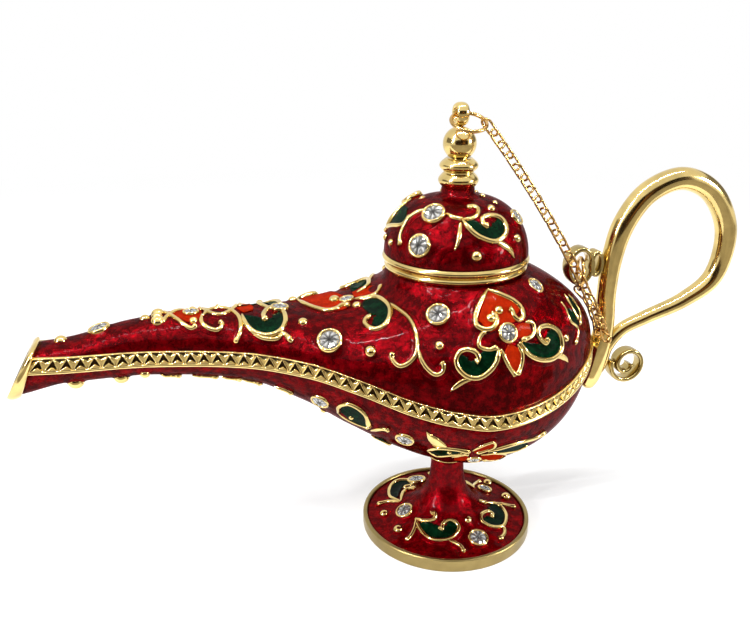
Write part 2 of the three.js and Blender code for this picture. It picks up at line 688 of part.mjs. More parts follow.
// How far the cup's edge nearest to the lid's axis stands off the neck and its cove.
function neckDistance(x, angle, diameter) {
  const { place, normal } = crystalSeat(shoulderPoint, x, angle);
  const inward = new THREE.Vector3(-place.x, -place.y, 0);
  inward.addScaledVector(normal, -inward.dot(normal)).normalize();
  const edge = place.addScaledVector(inward, diameter / 2);
  const t = THREE.MathUtils.clamp(1 - (NECK_Z - edge.z) / coveHeight, 0, 1);
  return Math.hypot(edge.x, edge.y) - (neckRadius - 0.3 + coveSpread * (1 - t) ** 2);
}

SHOULDER_CRYSTALS.forEach(([x, share, diameter], i) => {
  // a crystal that would touch the neck sits lower on the shoulder
  let angle = Math.asin(share ** (UPPER_SQUARENESS / 2));
  while (angle > 0.2 && neckDistance(x, angle, diameter) < CRYSTAL_CLEAR) angle -= 0.01;
  ['near', 'far'].forEach((side) => {
    setCrystal(`shoulder_crystal_${i + 1}_${side}`, diameter, shoulderPoint, x, angle, side === 'far');
  });
});
CREST_CRYSTALS.forEach(([x, diameter], i) => {
  setCrystal(`crest_crystal_${i + 1}`, diameter, shoulderPoint, x, Math.PI / 2);
});
LID_CRYSTALS.forEach(([degrees, t, diameter], i) => {
  ['near', 'far'].forEach((side) => {
    const angle = THREE.MathUtils.degToRad(degrees);
    setCrystal(`lid_crystal_${i + 1}_${side}`, diameter, lidPoint, angle, t, side === 'far');
  });
});

// Handle: a tapered round bar that rises from the stern, loops over and comes back to its root.
// Each row is x beyond the stern, height above the seam and the bar's radius there.
const HANDLE_BAR = [
  [0.6, -7.2, 1.2],
  [1.6, -4.6, 1.9],
  [2.6, 0.6, 2.25],
  [3.4, 6, 2.0],
  [3.2, 13.5, 1.92],
  [3.7, 21, 2.05],
  [5.5, 27.4, 2.2],
  [9.7, 32.9, 2.22],
  [16.7, 35.4, 2.22],
  [23.7, 32.5, 2.16],
  [28.4, 24.5, 2.11],
  [27, 14.9, 1.95],
  [21, 10.4, 1.65],
  [12.5, 7.2, 1.43],
  [7.4, 5, 1.34],
  [4.5, 1.5, 1.32],
  [3.7, -1.8, 1.3],
  [2.3, -5, 1.1],
];
const HANDLE_STEPS = 48;
// `grow` fattens the bar, to cut clearance in the pieces soldered to it.
function handleBar(grow = 0) {
  const centre = new THREE.CatmullRomCurve3(HANDLE_BAR.map(
    ([x, z]) => new THREE.Vector3(STERN_REACH + SOLDER_GAP + x, 0, SEAM_Z + z),
  ));
  const radiusRows = HANDLE_BAR.map(([, , r], i) => [i / (HANDLE_BAR.length - 1), r]);
  const across = new THREE.Vector3(0, 1, 0);
  const section = (t, shrink = 1, shift = 0) => {
    const tangent = centre.getTangent(t);
    const radius = smoothThrough(radiusRows, 1, t) * shrink + grow;
    const out = tangent.clone().cross(across).normalize();
    const middle = centre.getPoint(t).addScaledVector(tangent, shift);
    return Array.from({ length: TUBE_SIDES }, (_, j) => {
      const angle = (2 * Math.PI * j) / TUBE_SIDES;
      return middle.clone().addScaledVector(out, radius * Math.cos(angle))
        .addScaledVector(across, radius * Math.sin(angle));
    });
  };
  // the bar is skinned in two lengths, because it crosses itself at its root
  const split = 0.8;
  const run = (from, to, steps) => Array.from({ length: steps + 1 }, (_, i) => section(from + (to - from) * (i / steps)));
  const rise = [section(0, 0.6, -0.5), ...run(0, split, Math.round(HANDLE_STEPS * split))];
  const back = [...run(split, 1, Math.round(HANDLE_STEPS * (1 - split))), section(1, 0.6, 0.5)];
  return toSolid(loft(rise)).add(toSolid(loft(back)));
}
addPiece('handle_loop', toGeometry(handleBar()), GOLD);
const barClearance = handleBar(SEAT_GAP);

// A flat outline in the plane of symmetry given the width of the rolled strips.
function acrossPlane(shape, curveSegments = 9) {
  const edge = 0.25;
  const solid = new THREE.ExtrudeGeometry(shape, {
    depth: HANDLE_DEPTH - 2 * edge,
    bevelEnabled: true,
    bevelThickness: edge,
    bevelSize: edge,
    bevelOffset: -edge,
    bevelSegments: 1,
    curveSegments,
  });
  return solid.translate(0, 0, edge - HANDLE_DEPTH / 2).rotateX(Math.PI / 2);
}

const voluteX = STERN_REACH + SOLDER_GAP + 9.2;
const voluteZ = SEAM_Z - 2.4;
function volute() {
  const steps = 32;
  const [deep, thick, edge] = [HANDLE_DEPTH / 2, STRIP_THICKNESS / 2, 0.25];
  const outline = [
    [thick, edge - deep], [thick, deep - edge], [thick - edge, deep], [edge - thick, deep],
    [-thick, deep - edge], [-thick, edge - deep], [edge - thick, -deep], [thick - edge, -deep],
  ];
  const rings = Array.from({ length: steps + 1 }, (_, i) => {
    const t = i / steps;
    const angle = Math.PI * (0.92 + 2 * VOLUTE_TURNS * t);
    const radius = VOLUTE_RADIUS * (1 - VOLUTE_TIGHTENING * t ** 1.7);
    return outline.map(([out, y]) => new THREE.Vector3(
      voluteX + (radius + out) * Math.cos(angle),
      y,
      voluteZ + (radius + out) * Math.sin(angle),
    ));
  });
  return closed(loft(rings));
}
addPiece('handle_volute', toGeometry(toSolid(volute()).subtract(barClearance)), GOLD);

const handleEyeX = STERN_REACH - 3.2;
const handleEyeZ = SEAM_Z + 19.4;
function rolledEye(x, z, width, height) {
  const loop = new THREE.Shape();
  loop.absellipse(x, z, width / 2, height / 2, 0, 2 * Math.PI, false, 0);
  const hole = new THREE.Path();
  hole.absellipse(x, z, width / 2 - STRIP_THICKNESS, height / 2 - STRIP_THICKNESS, 0, 2 * Math.PI, true, 0);
  loop.holes.push(hole);
  return toSolid(acrossPlane(loop));
}
const curlX = handleEyeX + (HANDLE_EYE_WIDTH + CURL_WIDTH) / 2 - 1.2 * STRIP_THICKNESS;
const handleEye = rolledEye(handleEyeX, handleEyeZ, HANDLE_EYE_WIDTH, HANDLE_EYE_HEIGHT)
  .add(rolledEye(curlX, handleEyeZ + 0.3, CURL_WIDTH, CURL_HEIGHT));
addPiece('handle_eye', toGeometry(handleEye.subtract(barClearance)), GOLD);

// Jump rings
function wireRing(diameter, wire, sides = 6, steps = 20) {
  return new THREE.TorusGeometry(diameter / 2, wire / 2, sides, steps);
}
const finialRingReach = FINIAL_RING_DIAMETER / 2;
const finialRingCentre = new THREE.Vector3(
  0.5,
  -finialRingReach * Math.cos(RING_TILT),
  EYE_BORE_Z - finialRingReach * Math.sin(RING_TILT),
);
const finialRing = addPiece('finial_ring', closed(wireRing(FINIAL_RING_DIAMETER, JUMP_RING_WIRE)), GOLD);
finialRing.position.copy(finialRingCentre);
finialRing.rotation.set(RING_TILT, 0, 0);

const eyeRingZ = handleEyeZ - HANDLE_EYE_HEIGHT / 2 + STRIP_THICKNESS / 2 + 1.6;
const eyeRing = addPiece('eye_ring', closed(wireRing(EYE_RING_DIAMETER, JUMP_RING_WIRE)), GOLD);
eyeRing.position.set(handleEyeX + 0.5, 0, eyeRingZ);
eyeRing.rotation.set(0, Math.PI / 2, EYE_RING_TURN, 'ZYX');

// Chain: each link spans two joints of the route, and its plane is square to the link before.
// The main strand sags from the finial's ring to the root of the handle, one link turns across
// there, and a short strand climbs back to the ring in the handle's eye.
const strandStart = new THREE.Vector3(
  finialRingCentre.x + finialRingReach * Math.cos(HOOK_ANGLE),
  finialRingCentre.y - finialRingReach * Math.sin(HOOK_ANGLE) * Math.cos(RING_TILT),
  finialRingCentre.z - finialRingReach * Math.sin(HOOK_ANGLE) * Math.sin(RING_TILT),
);
const bightIn = new THREE.Vector3(STERN_REACH + 1.8, -4.6, SEAM_Z + 5.6);
const bightOut = new THREE.Vector3(STERN_REACH + 0.8, -2.8, SEAM_Z + 6);
const strandEnd = new THREE.Vector3(handleEyeX + 0.5, 0, eyeRingZ - EYE_RING_DIAMETER / 2);

// The ends of each link's span, in order.
function chainSpans() {
  const spans = [];
  const string = (points) => points.slice(1).forEach((point, i) => spans.push([points[i], point]));
  const heading = bightIn.clone().sub(strandStart).normalize();
  const top = strandStart.clone().addScaledVector(heading, -HOOK_SLACK);
  const sagWay = heading.clone().cross(new THREE.Vector3(0, 1, 0)).normalize();
  // an even count, so that the last link faces the right way for the turn
  const links = 2 * Math.round(top.distanceTo(bightIn) / CHAIN_PITCH / 2);
  string(Array.from({ length: links + 1 }, (_, i) => {
    const t = i / links;
    return top.clone().lerp(bightIn, t).addScaledVector(sagWay, CHAIN_SAG * 4 * t * (1 - t));
  }));
  const eased = (point, x, z) => point.clone().add(new THREE.Vector3(x * BEND_SLACK, 0, z * BEND_SLACK));
  string([eased(bightIn, 1, -1), bightOut]);
  const climb = new THREE.QuadraticBezierCurve3(
    eased(bightOut, 0, 1),
    new THREE.Vector3(bightOut.x, bightOut.y / 3, (bightOut.z + strandEnd.z) / 2 + 1),
    strandEnd.clone(),
  );
  const last = climb.getTangent(1);
  // likewise even, so that the last link lets the eye's ring through
  const points = climb.getSpacedPoints(2 * Math.round(climb.getLength() / CHAIN_PITCH / 2));
  points[points.length - 1].addScaledVector(last, HOOK_SLACK);
  string(points);
  return spans;
}

function chainLink() {
  const link = new THREE.TorusGeometry((LINK_WIDTH - LINK_WIRE) / 2, LINK_WIRE / 2, 5, 10);
  const position = link.attributes.position;
  const stretch = (LINK_LENGTH - LINK_WIDTH) / 2;
  for (let i = 0; i < position.count; i += 1) {
    position.setX(i, position.getX(i) + stretch * Math.sign(position.getX(i)));
  }
  return closed(link);
}

// The first link lets the ring's wire through it, then is rolled so that all links show their ovals.
function firstFacing(heading) {
  const wireWay = new THREE.Vector3(
    Math.sin(HOOK_ANGLE),
    Math.cos(HOOK_ANGLE) * Math.cos(RING_TILT),
    Math.cos(HOOK_ANGLE) * Math.sin(RING_TILT),
  );
  return wireWay.addScaledVector(heading, -wireWay.dot(heading)).normalize().applyAxisAngle(heading, LINK_ROLL);
}

let facing = null;
chainSpans().forEach(([from, to], i) => {
  const heading = to.clone().sub(from).normalize();
  facing = facing ? heading.clone().cross(facing).normalize() : firstFacing(heading);
  const link = addPiece(`chain_link_${String(i + 1).padStart(2, '0')}`, chainLink(), GOLD);
  link.position.copy(from).lerp(to, 0.5);
  link.quaternion.setFromRotationMatrix(
    new THREE.Matrix4().makeBasis(heading, facing.clone().cross(heading), facing),
  );
});

export default lamp;
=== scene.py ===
"""Looks of a jewelled genie lamp: red enamel, pale gold, green and orange enamel cells, crystals and a chain.

Shapes are worked out in mm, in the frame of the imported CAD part, and become metres when a mesh is made.
"""

import bpy
import numpy as np
from mathutils import Matrix, Vector


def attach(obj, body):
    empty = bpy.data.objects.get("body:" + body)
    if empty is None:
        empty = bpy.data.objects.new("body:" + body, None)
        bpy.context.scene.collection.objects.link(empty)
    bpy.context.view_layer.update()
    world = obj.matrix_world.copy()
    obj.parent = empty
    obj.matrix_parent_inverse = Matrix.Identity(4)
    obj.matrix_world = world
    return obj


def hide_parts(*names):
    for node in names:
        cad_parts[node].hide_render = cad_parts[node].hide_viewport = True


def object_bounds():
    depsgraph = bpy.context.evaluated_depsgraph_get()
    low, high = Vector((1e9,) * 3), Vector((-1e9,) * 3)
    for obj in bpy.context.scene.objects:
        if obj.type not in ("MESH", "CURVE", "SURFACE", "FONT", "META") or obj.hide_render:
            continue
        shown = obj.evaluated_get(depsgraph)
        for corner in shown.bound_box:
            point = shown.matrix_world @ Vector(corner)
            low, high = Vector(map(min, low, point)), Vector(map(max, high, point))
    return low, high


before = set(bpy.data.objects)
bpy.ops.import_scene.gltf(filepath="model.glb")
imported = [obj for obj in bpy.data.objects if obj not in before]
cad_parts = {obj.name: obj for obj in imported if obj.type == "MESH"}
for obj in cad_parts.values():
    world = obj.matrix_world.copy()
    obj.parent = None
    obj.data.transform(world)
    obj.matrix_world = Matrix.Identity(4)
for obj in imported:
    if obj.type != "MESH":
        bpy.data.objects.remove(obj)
CAD_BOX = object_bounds()

bl_info = {
    "name": "Genie lamp",
    "version": (1, 0, 0),
    "blender": (4, 5, 0),
    "location": "View3D > Sidebar > Lamp",
    "description": "Builds the looks of a jewelled genie lamp round its CAD frame",
    "category": "Add Mesh",
}

MM = 0.001

# Hull: bowl and spout, as in the CAD part. x runs from the spout's mouth to the stern.
BOWL_WIDTH, BOWL_DEPTH, CROWN_RISE = 46, 16.2, 24
STERN_REACH, STERN_LIFT = 28.6, 3.8
SPOUT_REACH, SPOUT_WIDTH, SPOUT_RISE, SPOUT_CROWN, SPOUT_KEEL = 75, 8, 10, 2.2, 6.4
SEAM_Z, SHELL_WALL, SEAM_INSET = 34.8, 1.6, 1.3
PLAN_OVAL, CROWN_OVAL, KEEL_OVAL, LIFT_POWER = 1.55, 1.8, 2.6, 2.7
PLAN_EASE = 0.04  # share of the stern's reach over which bowl and stern blend
UPPER_SQUARENESS, LOWER_SQUARENESS = 2.5, 2
MOUTH_SLANT, LEAN_START = 0.42, 0.76
# share of the spout's reach, then shares of width, climb, crown and keel between mouth and bowl
SPOUT_SHAPE = np.array([
    (-1, 0, 1, 0, 0), (-0.92, 0.015, 0.985, 0.037, -0.17), (-0.79, 0.045, 1, 0.128, -0.18),
    (-0.66, 0.095, 0.97, 0.175, -0.14), (-0.53, 0.2, 0.92, 0.188, -0.02), (-0.4, 0.41, 0.8, 0.225, 0.335),
    (-0.29, 0.63, 0.57, 0.355, 0.655), (-0.18, 0.83, 0.27, 0.6, 0.835), (-0.09, 0.95, 0.1, 0.825, 0.945),
    (0, 1, 0, 1, 1),
])

# Turned pieces
FOOT_RADIUS, FOOT_RIM_HEIGHT, FOOT_RIM_WALL, DISH_EDGE = 17.2, 2.7, 0.9, 2.3
STEM_RADIUS, PEDESTAL_HEIGHT, DISH_RADIUS = 3.3, 15.6, 16.25
STEM_RING_Z, STEM_RING_HEIGHT, STEM_RING_RADIUS = 15.7, 1.2, 4.2
BOSS_Z, BOSS_HEIGHT, BOSS_SPREAD = 17, 1.6, 2.4
NECK_Z, NECK_RADIUS, NECK_BORE_RADIUS, COVE_HEIGHT, COVE_SPREAD = 55.7, 13.2, 11.6, 4.2, 3.4
COLLAR_Z, COLLAR_HEIGHT = 55.8, 1.4
LID_Z, LID_RIM_HEIGHT, LID_RADIUS, SPIGOT_RADIUS, SPIGOT_BORE, SPIGOT_DEPTH = 57.3, 1.4, 13.6, 11.2, 9.9, 3.2
DOME_Z, DOME_HEIGHT, DOME_RADIUS, DOME_WALL, LID_NECK_RADIUS = 58.8, 11.7, 13.3, 1.8, 3
FINIAL_Z, BEAD_HEIGHT, LOWER_BEAD_RADIUS, UPPER_BEAD_RADIUS = 70.6, 2.6, 3.65, 3.5
BALL_Z, BALL_RADIUS = 78.32, 3
EYE_Z, EYE_RADIUS, EYE_BORE_RADIUS, EYE_THICKNESS, EYE_DROP = 83.54, 1.9, 0.8, 2.3, 2.3

# Band and lip
BAND_HEIGHT, BAND_WALL, BAND_PROUD, TOOTH_PITCH = 2.8, 1.5, 0.5, 2.25
LIP_ROLL, LIP_LEAN, LIP_PROUD, MOUTH_WALL, MOUTH_DEPTH, SOLDER_GAP = 1.4, 0.15, 0.45, 1.1, 3.2, 0.3

# Handle bar: x beyond the stern, height above the seam and the bar's radius there
HANDLE_BAR = np.array([
    (0.6, -7.2, 1.2), (1.6, -4.6, 1.9), (2.6, 0.6, 2.25), (3.4, 6, 2.0), (3.2, 13.5, 1.92), (3.7, 21, 2.05),
    (5.5, 27.4, 2.2), (9.7, 32.9, 2.22), (16.7, 35.4, 2.22), (23.7, 32.5, 2.16), (28.4, 24.5, 2.11),
    (27, 14.9, 1.95), (21, 10.4, 1.65), (12.5, 7.2, 1.43), (7.4, 5, 1.34), (4.5, 1.5, 1.32),
    (3.7, -1.8, 1.3), (2.3, -5, 1.1),
])
STRIP_THICKNESS, STRIP_DEPTH = 1.05, 3
VOLUTE_X, VOLUTE_Z, VOLUTE_RADIUS, VOLUTE_TURNS, VOLUTE_TIGHTENING = 38.1, 32.4, 3.65, 1.5, 0.74
EYES_OF_HANDLE = [(25.4, 54.2, 5.9, 7.8), (28.69, 54.5, 3.2, 5.4)]  # x, z, width, height

# Camera, fitted to the photograph
FOCAL_PIXELS, IMAGE_WIDTH, IMAGE_HEIGHT = 800, 750, 643
CAMERA_PITCH, CAMERA_ROLL, LAMP_TURN = np.radians((20.6, 0.17, 14))
CAMERA_OFFSET, CAMERA_DISTANCE, CAMERA_HEIGHT = 14.86, 143.2, 98.5

MAIN_LINKS = 20
FAR_SIDE, HALF_TURN = (1, -1, 1), (-1, -1, 1)  # signs that mirror or turn what is drawn
CREST_BEADS = [(-71.1, 1.0), (-56.3, 0.8), (-54.3, 0.9)]  # place along the spout's crest, radius


# Curves

def smooth_through(rows, column, at):
    """Monotone cubic through a table's column: slopes are harmonic means, and the last one is level."""
    x, y = rows[:, 0], rows[:, column]
    width = np.diff(x)
    slope = np.diff(y) / width
    both = slope[:-1] * slope[1:]
    total = slope[:-1] + slope[1:]
    inner = np.where(both > 0, 2 * both / np.where(both > 0, total, 1), 0)
    tangent = np.concatenate([slope[:1], inner, [0]])
    k = np.clip(np.searchsorted(x, at, side="right") - 1, 0, len(x) - 2)
    t = np.clip((at - x[k]) / width[k], 0, 1)
    blend = t * t * (3 - 2 * t)
    sway = (1 - t) * tangent[k] - t * tangent[k + 1]
    return y[k] + (y[k + 1] - y[k]) * blend + width[k] * t * (1 - t) * sway


def spline(points, count):
    """Centripetal Catmull-Rom curve: cubic pieces whose slopes come from the neighbours, evenly in steps."""
    points = np.asarray(points, float)
    whole = np.concatenate([[2 * points[0] - points[1]], points, [2 * points[-1] - points[-2]]])
    gaps = np.maximum(np.linalg.norm(np.diff(whole, axis=0), axis=1) ** 0.5, 1e-6)
    place = np.linspace(0, len(points) - 1, count)
    k = np.minimum(place.astype(int), len(points) - 2)
    t = (place - k)[:, None]
    a, b, c, d = (whole[k + i] for i in range(4))
    before, here, after = (gaps[k + i][:, None] for i in range(3))
    leave = ((b - a) / before - (c - a) / (before + here) + (c - b) / here) * here
    arrive = ((c - b) / here - (d - b) / (here + after) + (d - c) / after) * here
    return (b + leave * t + (-3 * b + 3 * c - 2 * leave - arrive) * t ** 2
            + (2 * b - 2 * c + leave + arrive) * t ** 3)


def unit(vectors):
    """Vectors scaled to length one."""
    return vectors / np.maximum(np.linalg.norm(vectors, axis=-1, keepdims=True), 1e-12)


# Meshes

class Skin:
    """Closed surfaces gathered into one mesh."""

    def __init__(self):
        self.points, self.quads, self.fans, self.count = [], [], [], 0

    def gather(self, points, quads, fans):
        """Adds a closed surface and turns its faces outward, by the sign of the volume it holds."""
        whole = np.concatenate([quads[:, [0, 1, 2]], quads[:, [0, 2, 3]], fans])
        a, b, c = (points[whole[:, i]] for i in range(3))
        if (a * np.cross(b, c)).sum() < 0:
            quads, fans = quads[:, ::-1], fans[:, ::-1]
        self.points.append(points)
        self.quads.append(quads + self.count)
        self.fans.append(fans + self.count)
        self.count += len(points)

    def tube(self, rings, looped=False):
        """Skins closed rings of points, rings[i, j]. The ends get fans, or the last ring meets the first."""
        m, n, _ = rings.shape
        i = np.arange(m if looped else m - 1)[:, None]
        j = np.arange(n)[None, :]
        ahead, beside = (i + 1) % m, (j + 1) % n
        quads = np.stack(np.broadcast_arrays(i * n + j, i * n + beside, ahead * n + beside, ahead * n + j), -1)
        points = rings.reshape(-1, 3)
        fans = np.zeros((0, 3), int)
        if not looped:
            k = np.arange(n)
            points = np.concatenate([points, rings[[0, -1]].mean(1)])
            fans = np.concatenate([
                np.stack([np.full(n, m * n), (k + 1) % n, k], -1),
                np.stack([np.full(n, m * n + 1), (m - 1) * n + k, (m - 1) * n + (k + 1) % n], -1),
            ])
        self.gather(points, quads.reshape(-1, 4), fans)

    def shell(self, outer, inner, kept):
        """Two sheets with the same grid, joined along every open edge. `kept` marks the cells that stay."""
        m, n, _ = outer.shape
        i, j = np.nonzero(kept)
        quads = np.stack([i * n + j, i * n + j + 1, (i + 1) * n + j + 1, (i + 1) * n + j], -1)
        edges = np.stack([quads, np.roll(quads, -1, 1)], -1).reshape(-1, 2)
        size = m * n
        keys = edges[:, 0] * size + edges[:, 1]
        rim = edges[~np.isin(keys, edges[:, 1] * size + edges[:, 0])]
        walls = np.stack([rim[:, 1], rim[:, 0], rim[:, 0] + size, rim[:, 1] + size], -1)
        points = np.concatenate([outer.reshape(-1, 3), inner.reshape(-1, 3)])
        faces = np.concatenate([quads, quads[:, ::-1] + size, walls])
        used, index = np.unique(faces, return_inverse=True)
        self.gather(points[used], index.reshape(-1, 4), np.zeros((0, 3), int))

    def turn(self, profile, sides=96, looped=False):
        """Turns an outline of (radius, height) about the upright axis."""
        angle = np.linspace(0, 2 * np.pi, sides, endpoint=False)
        profile = np.asarray(profile, float)
        radius, height = profile[:, :1], profile[:, 1:]
        rings = np.stack([radius * np.cos(angle), radius * np.sin(angle), height + 0 * angle], -1)
        self.tube(rings, looped)

    def wire(self, path, radius, normal, sides=8, looped=False):
        """A round wire along a path; `normal` is a direction across it at each point."""
        run = unit(np.gradient(path, axis=0))
        if looped:
            run = unit(np.roll(path, -1, 0) - np.roll(path, 1, 0))
        side = unit(np.cross(run, normal))
        up = np.cross(side, run)
        angle = np.linspace(0, 2 * np.pi, sides, endpoint=False)[None, :, None]
        radius = np.broadcast_to(radius, len(path))[:, None, None]
        rings = path[:, None] + radius * (np.cos(angle) * side[:, None] + np.sin(angle) * up[:, None])
        self.tube(rings, looped)

    def copy(self, signs, clear=1.5):
        """Adds the surfaces again with each coordinate times its sign, except those astride the middle plane."""
        for points, quads, fans in list(zip(self.points, self.quads, self.fans)):
            start = quads.min()
            if abs(points[:, 1].mean()) > clear:
                self.gather(points * signs, quads - start, fans - start)

    def make(self, name, material, slot, body, replaces=(), smooth=True, painted_darkness=None):
        """Makes the object in metres, gives it its material and lets it ride on its body."""
        quads, fans = np.concatenate(self.quads), np.concatenate(self.fans)
        corners = np.concatenate([quads.ravel(), fans.ravel()]).astype(np.int32)
        sizes = np.concatenate([np.full(len(quads), 4), np.full(len(fans), 3)])
        mesh = bpy.data.meshes.new(name)
        mesh.vertices.add(self.count)
        mesh.vertices.foreach_set("co", (np.concatenate(self.points) * MM).astype(np.float32).ravel())
        mesh.loops.add(len(corners))
        mesh.loops.foreach_set("vertex_index", corners)
        mesh.polygons.add(len(sizes))
        mesh.polygons.foreach_set("loop_start", (np.cumsum(sizes) - sizes).astype(np.int32))
        mesh.polygons.foreach_set("use_smooth", np.full(len(sizes), smooth))
        mesh.update(calc_edges=True)
        mesh.materials.append(material)
        # Per-point darkness for the material: painted shade in the band's pits, painted reflections in the crystals'
        # facets
        if painted_darkness is not None:
            mesh.attributes.new("painted_dark", "FLOAT", "POINT").data.foreach_set("value", painted_darkness.astype(np.float32))
        piece = bpy.data.objects.new(name, mesh)
        bpy.context.scene.collection.objects.link(piece)
        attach(piece, body)
        if replaces:
            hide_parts(*replaces)
        return piece


# Hull

def hull(x):
    """Half width, seam height, crown and keel of the hull at x."""
    stern = np.clip(x / STERN_REACH, 0, 1)
    spout = np.clip(x / SPOUT_REACH, -1, 0)
    swell, climb, crown, keel = (smooth_through(SPOUT_SHAPE, c, spout) for c in range(1, 5))

    eased = (np.hypot(stern, PLAN_EASE) - PLAN_EASE) / (np.hypot(1, PLAN_EASE) - PLAN_EASE)

    def oval(power):
        return (1 - np.minimum(eased, 1) ** power) ** (1 / power)

    half = (SPOUT_WIDTH + (BOWL_WIDTH - SPOUT_WIDTH) * swell) / 2 * oval(PLAN_OVAL)
    seam = SEAM_Z + SPOUT_RISE * climb + STERN_LIFT * stern ** LIFT_POWER
    crown = (SPOUT_CROWN + (CROWN_RISE - SPOUT_CROWN) * crown) * oval(CROWN_OVAL)
    keel = (SPOUT_KEEL + (BOWL_DEPTH - SPOUT_KEEL) * keel) * oval(KEEL_OVAL)
    return half, seam, crown, keel


def lean_at(x):
    """How far the sections lean forward near the spout's slanted mouth."""
    share = np.clip((-x / SPOUT_REACH - LEAN_START) / (1 - LEAN_START), 0, 1)
    return MOUTH_SLANT * share ** 2


def hull_sheet(x, steps, side, thin=0.0):
    """Half of the hull as superellipse arches across stations x, `thin` inside its outer face."""
    half, seam, crown, keel = (v[:, None] for v in hull(x))
    half = np.maximum(half - thin, 0.02)
    reach = np.maximum((crown if side > 0 else keel) - thin, 0.05)
    power = 2 / (UPPER_SQUARENESS if side > 0 else LOWER_SQUARENESS)
    inset = np.minimum(SEAM_INSET, 0.9 * reach)
    start = np.arcsin((inset / reach) ** (1 / power))
    angle = start + (np.pi - 2 * start) * np.linspace(0, 1, steps)[None, :]
    c, s = np.cos(angle), np.sin(angle)
    rise = side * reach * s ** power
    y = half * np.sign(c) * np.abs(c) ** power
    return np.stack([x[:, None] + lean_at(x)[:, None] * rise, y, seam + rise], -1)


def hull_stations(count):
    """Places along the hull, closer together where the stern rounds off."""
    share = 1 - np.linspace(1, 0, count) ** 1.5
    return -SPOUT_REACH + (SPOUT_REACH + STERN_REACH * 0.999) * share


def with_neck(sheet):
    """Raises the sheet to the neck's cove, a quarter curve round the neck, and cuts it level with its top."""
    radius = np.hypot(sheet[..., 0], sheet[..., 1])
    spread = np.clip((radius - NECK_RADIUS + 0.3) / COVE_SPREAD, 0, 1)
    cove = np.where(spread < 1, NECK_Z - COVE_HEIGHT * spread ** 0.5, 0)
    soft = 0.9
    gap = np.clip(0.5 + (sheet[..., 2] - cove) / (2 * soft), 0, 1)
    raised = cove + (sheet[..., 2] - cove) * gap + soft * gap * (1 - gap)
    high = np.where(spread < 1, raised, sheet[..., 2])
    return np.concatenate([sheet[..., :2], np.minimum(high, NECK_Z)[..., None]], -1), radius


def seam_path(count):
    """Even steps along the seam's plan from lip to lip: distance, place and outward direction."""
    x = -SPOUT_REACH + (SPOUT_REACH + STERN_REACH) * (1 - np.linspace(1, 0, 1500) ** 2)
    near = np.stack([x, -hull(x)[0]], -1)
    plan = np.concatenate([near, near[-2::-1] * (1, -1)])
    along = np.concatenate([[0], np.cumsum(np.linalg.norm(np.diff(plan, axis=0), axis=1))])
    s = np.linspace(0, along[-1], count)

    def at(distance):
        return np.stack([np.interp(distance, along, plan[:, k]) for k in (0, 1)], -1)

    step = TOOTH_PITCH / 2
    run = unit(at(np.minimum(s + step, along[-1])) - at(np.maximum(s - step, 0)))
    return s, at(s), np.stack([run[:, 1], -run[:, 0]], -1)


def build_shells(look):
    """Upper and lower half shells in red enamel, with the boss under the bowl and the lining of the neck."""
    x = hull_stations(250)
    upper, radius = with_neck(hull_sheet(x, 111, 1))
    lining = hull_sheet(x, 111, 1, SHELL_WALL)
    lining[..., 2] = np.minimum(lining[..., 2], upper[..., 2] - 0.5)
    inside = radius < (NECK_RADIUS + NECK_BORE_RADIUS) / 2 - 0.3
    cells = inside[:-1, :-1] & inside[1:, :-1] & inside[:-1, 1:] & inside[1:, 1:]
    top = Skin()
    top.shell(upper, lining, ~cells)
    bore = NECK_BORE_RADIUS
    top.turn([(bore, NECK_Z - 6), (bore + 0.6, NECK_Z - 6), (bore + 0.9, NECK_Z - 0.05), (bore, NECK_Z - 0.05)],
             looped=True)
    top.make("upper_enamel", look["red"], "red_enamel", "lamp", ["upper_shell"])

    lower = hull_sheet(x, 91, -1)
    bottom = Skin()
    bottom.shell(lower, hull_sheet(x, 91, -1, SHELL_WALL), np.ones((len(x) - 1, 90), bool))
    t = np.linspace(0, 1, 14)
    foot = STEM_RING_RADIUS - 0.2
    flare = np.stack([foot + BOSS_SPREAD * t ** 2.2, BOSS_Z + 1.25 * BOSS_HEIGHT * t], -1)
    inner = [(foot + BOSS_SPREAD, BOSS_Z + 2 * BOSS_HEIGHT)]
    bottom.turn(np.concatenate([flare, inner]))
    bottom.make("lower_enamel", look["red"], "red_enamel", "lamp", ["lower_shell"])


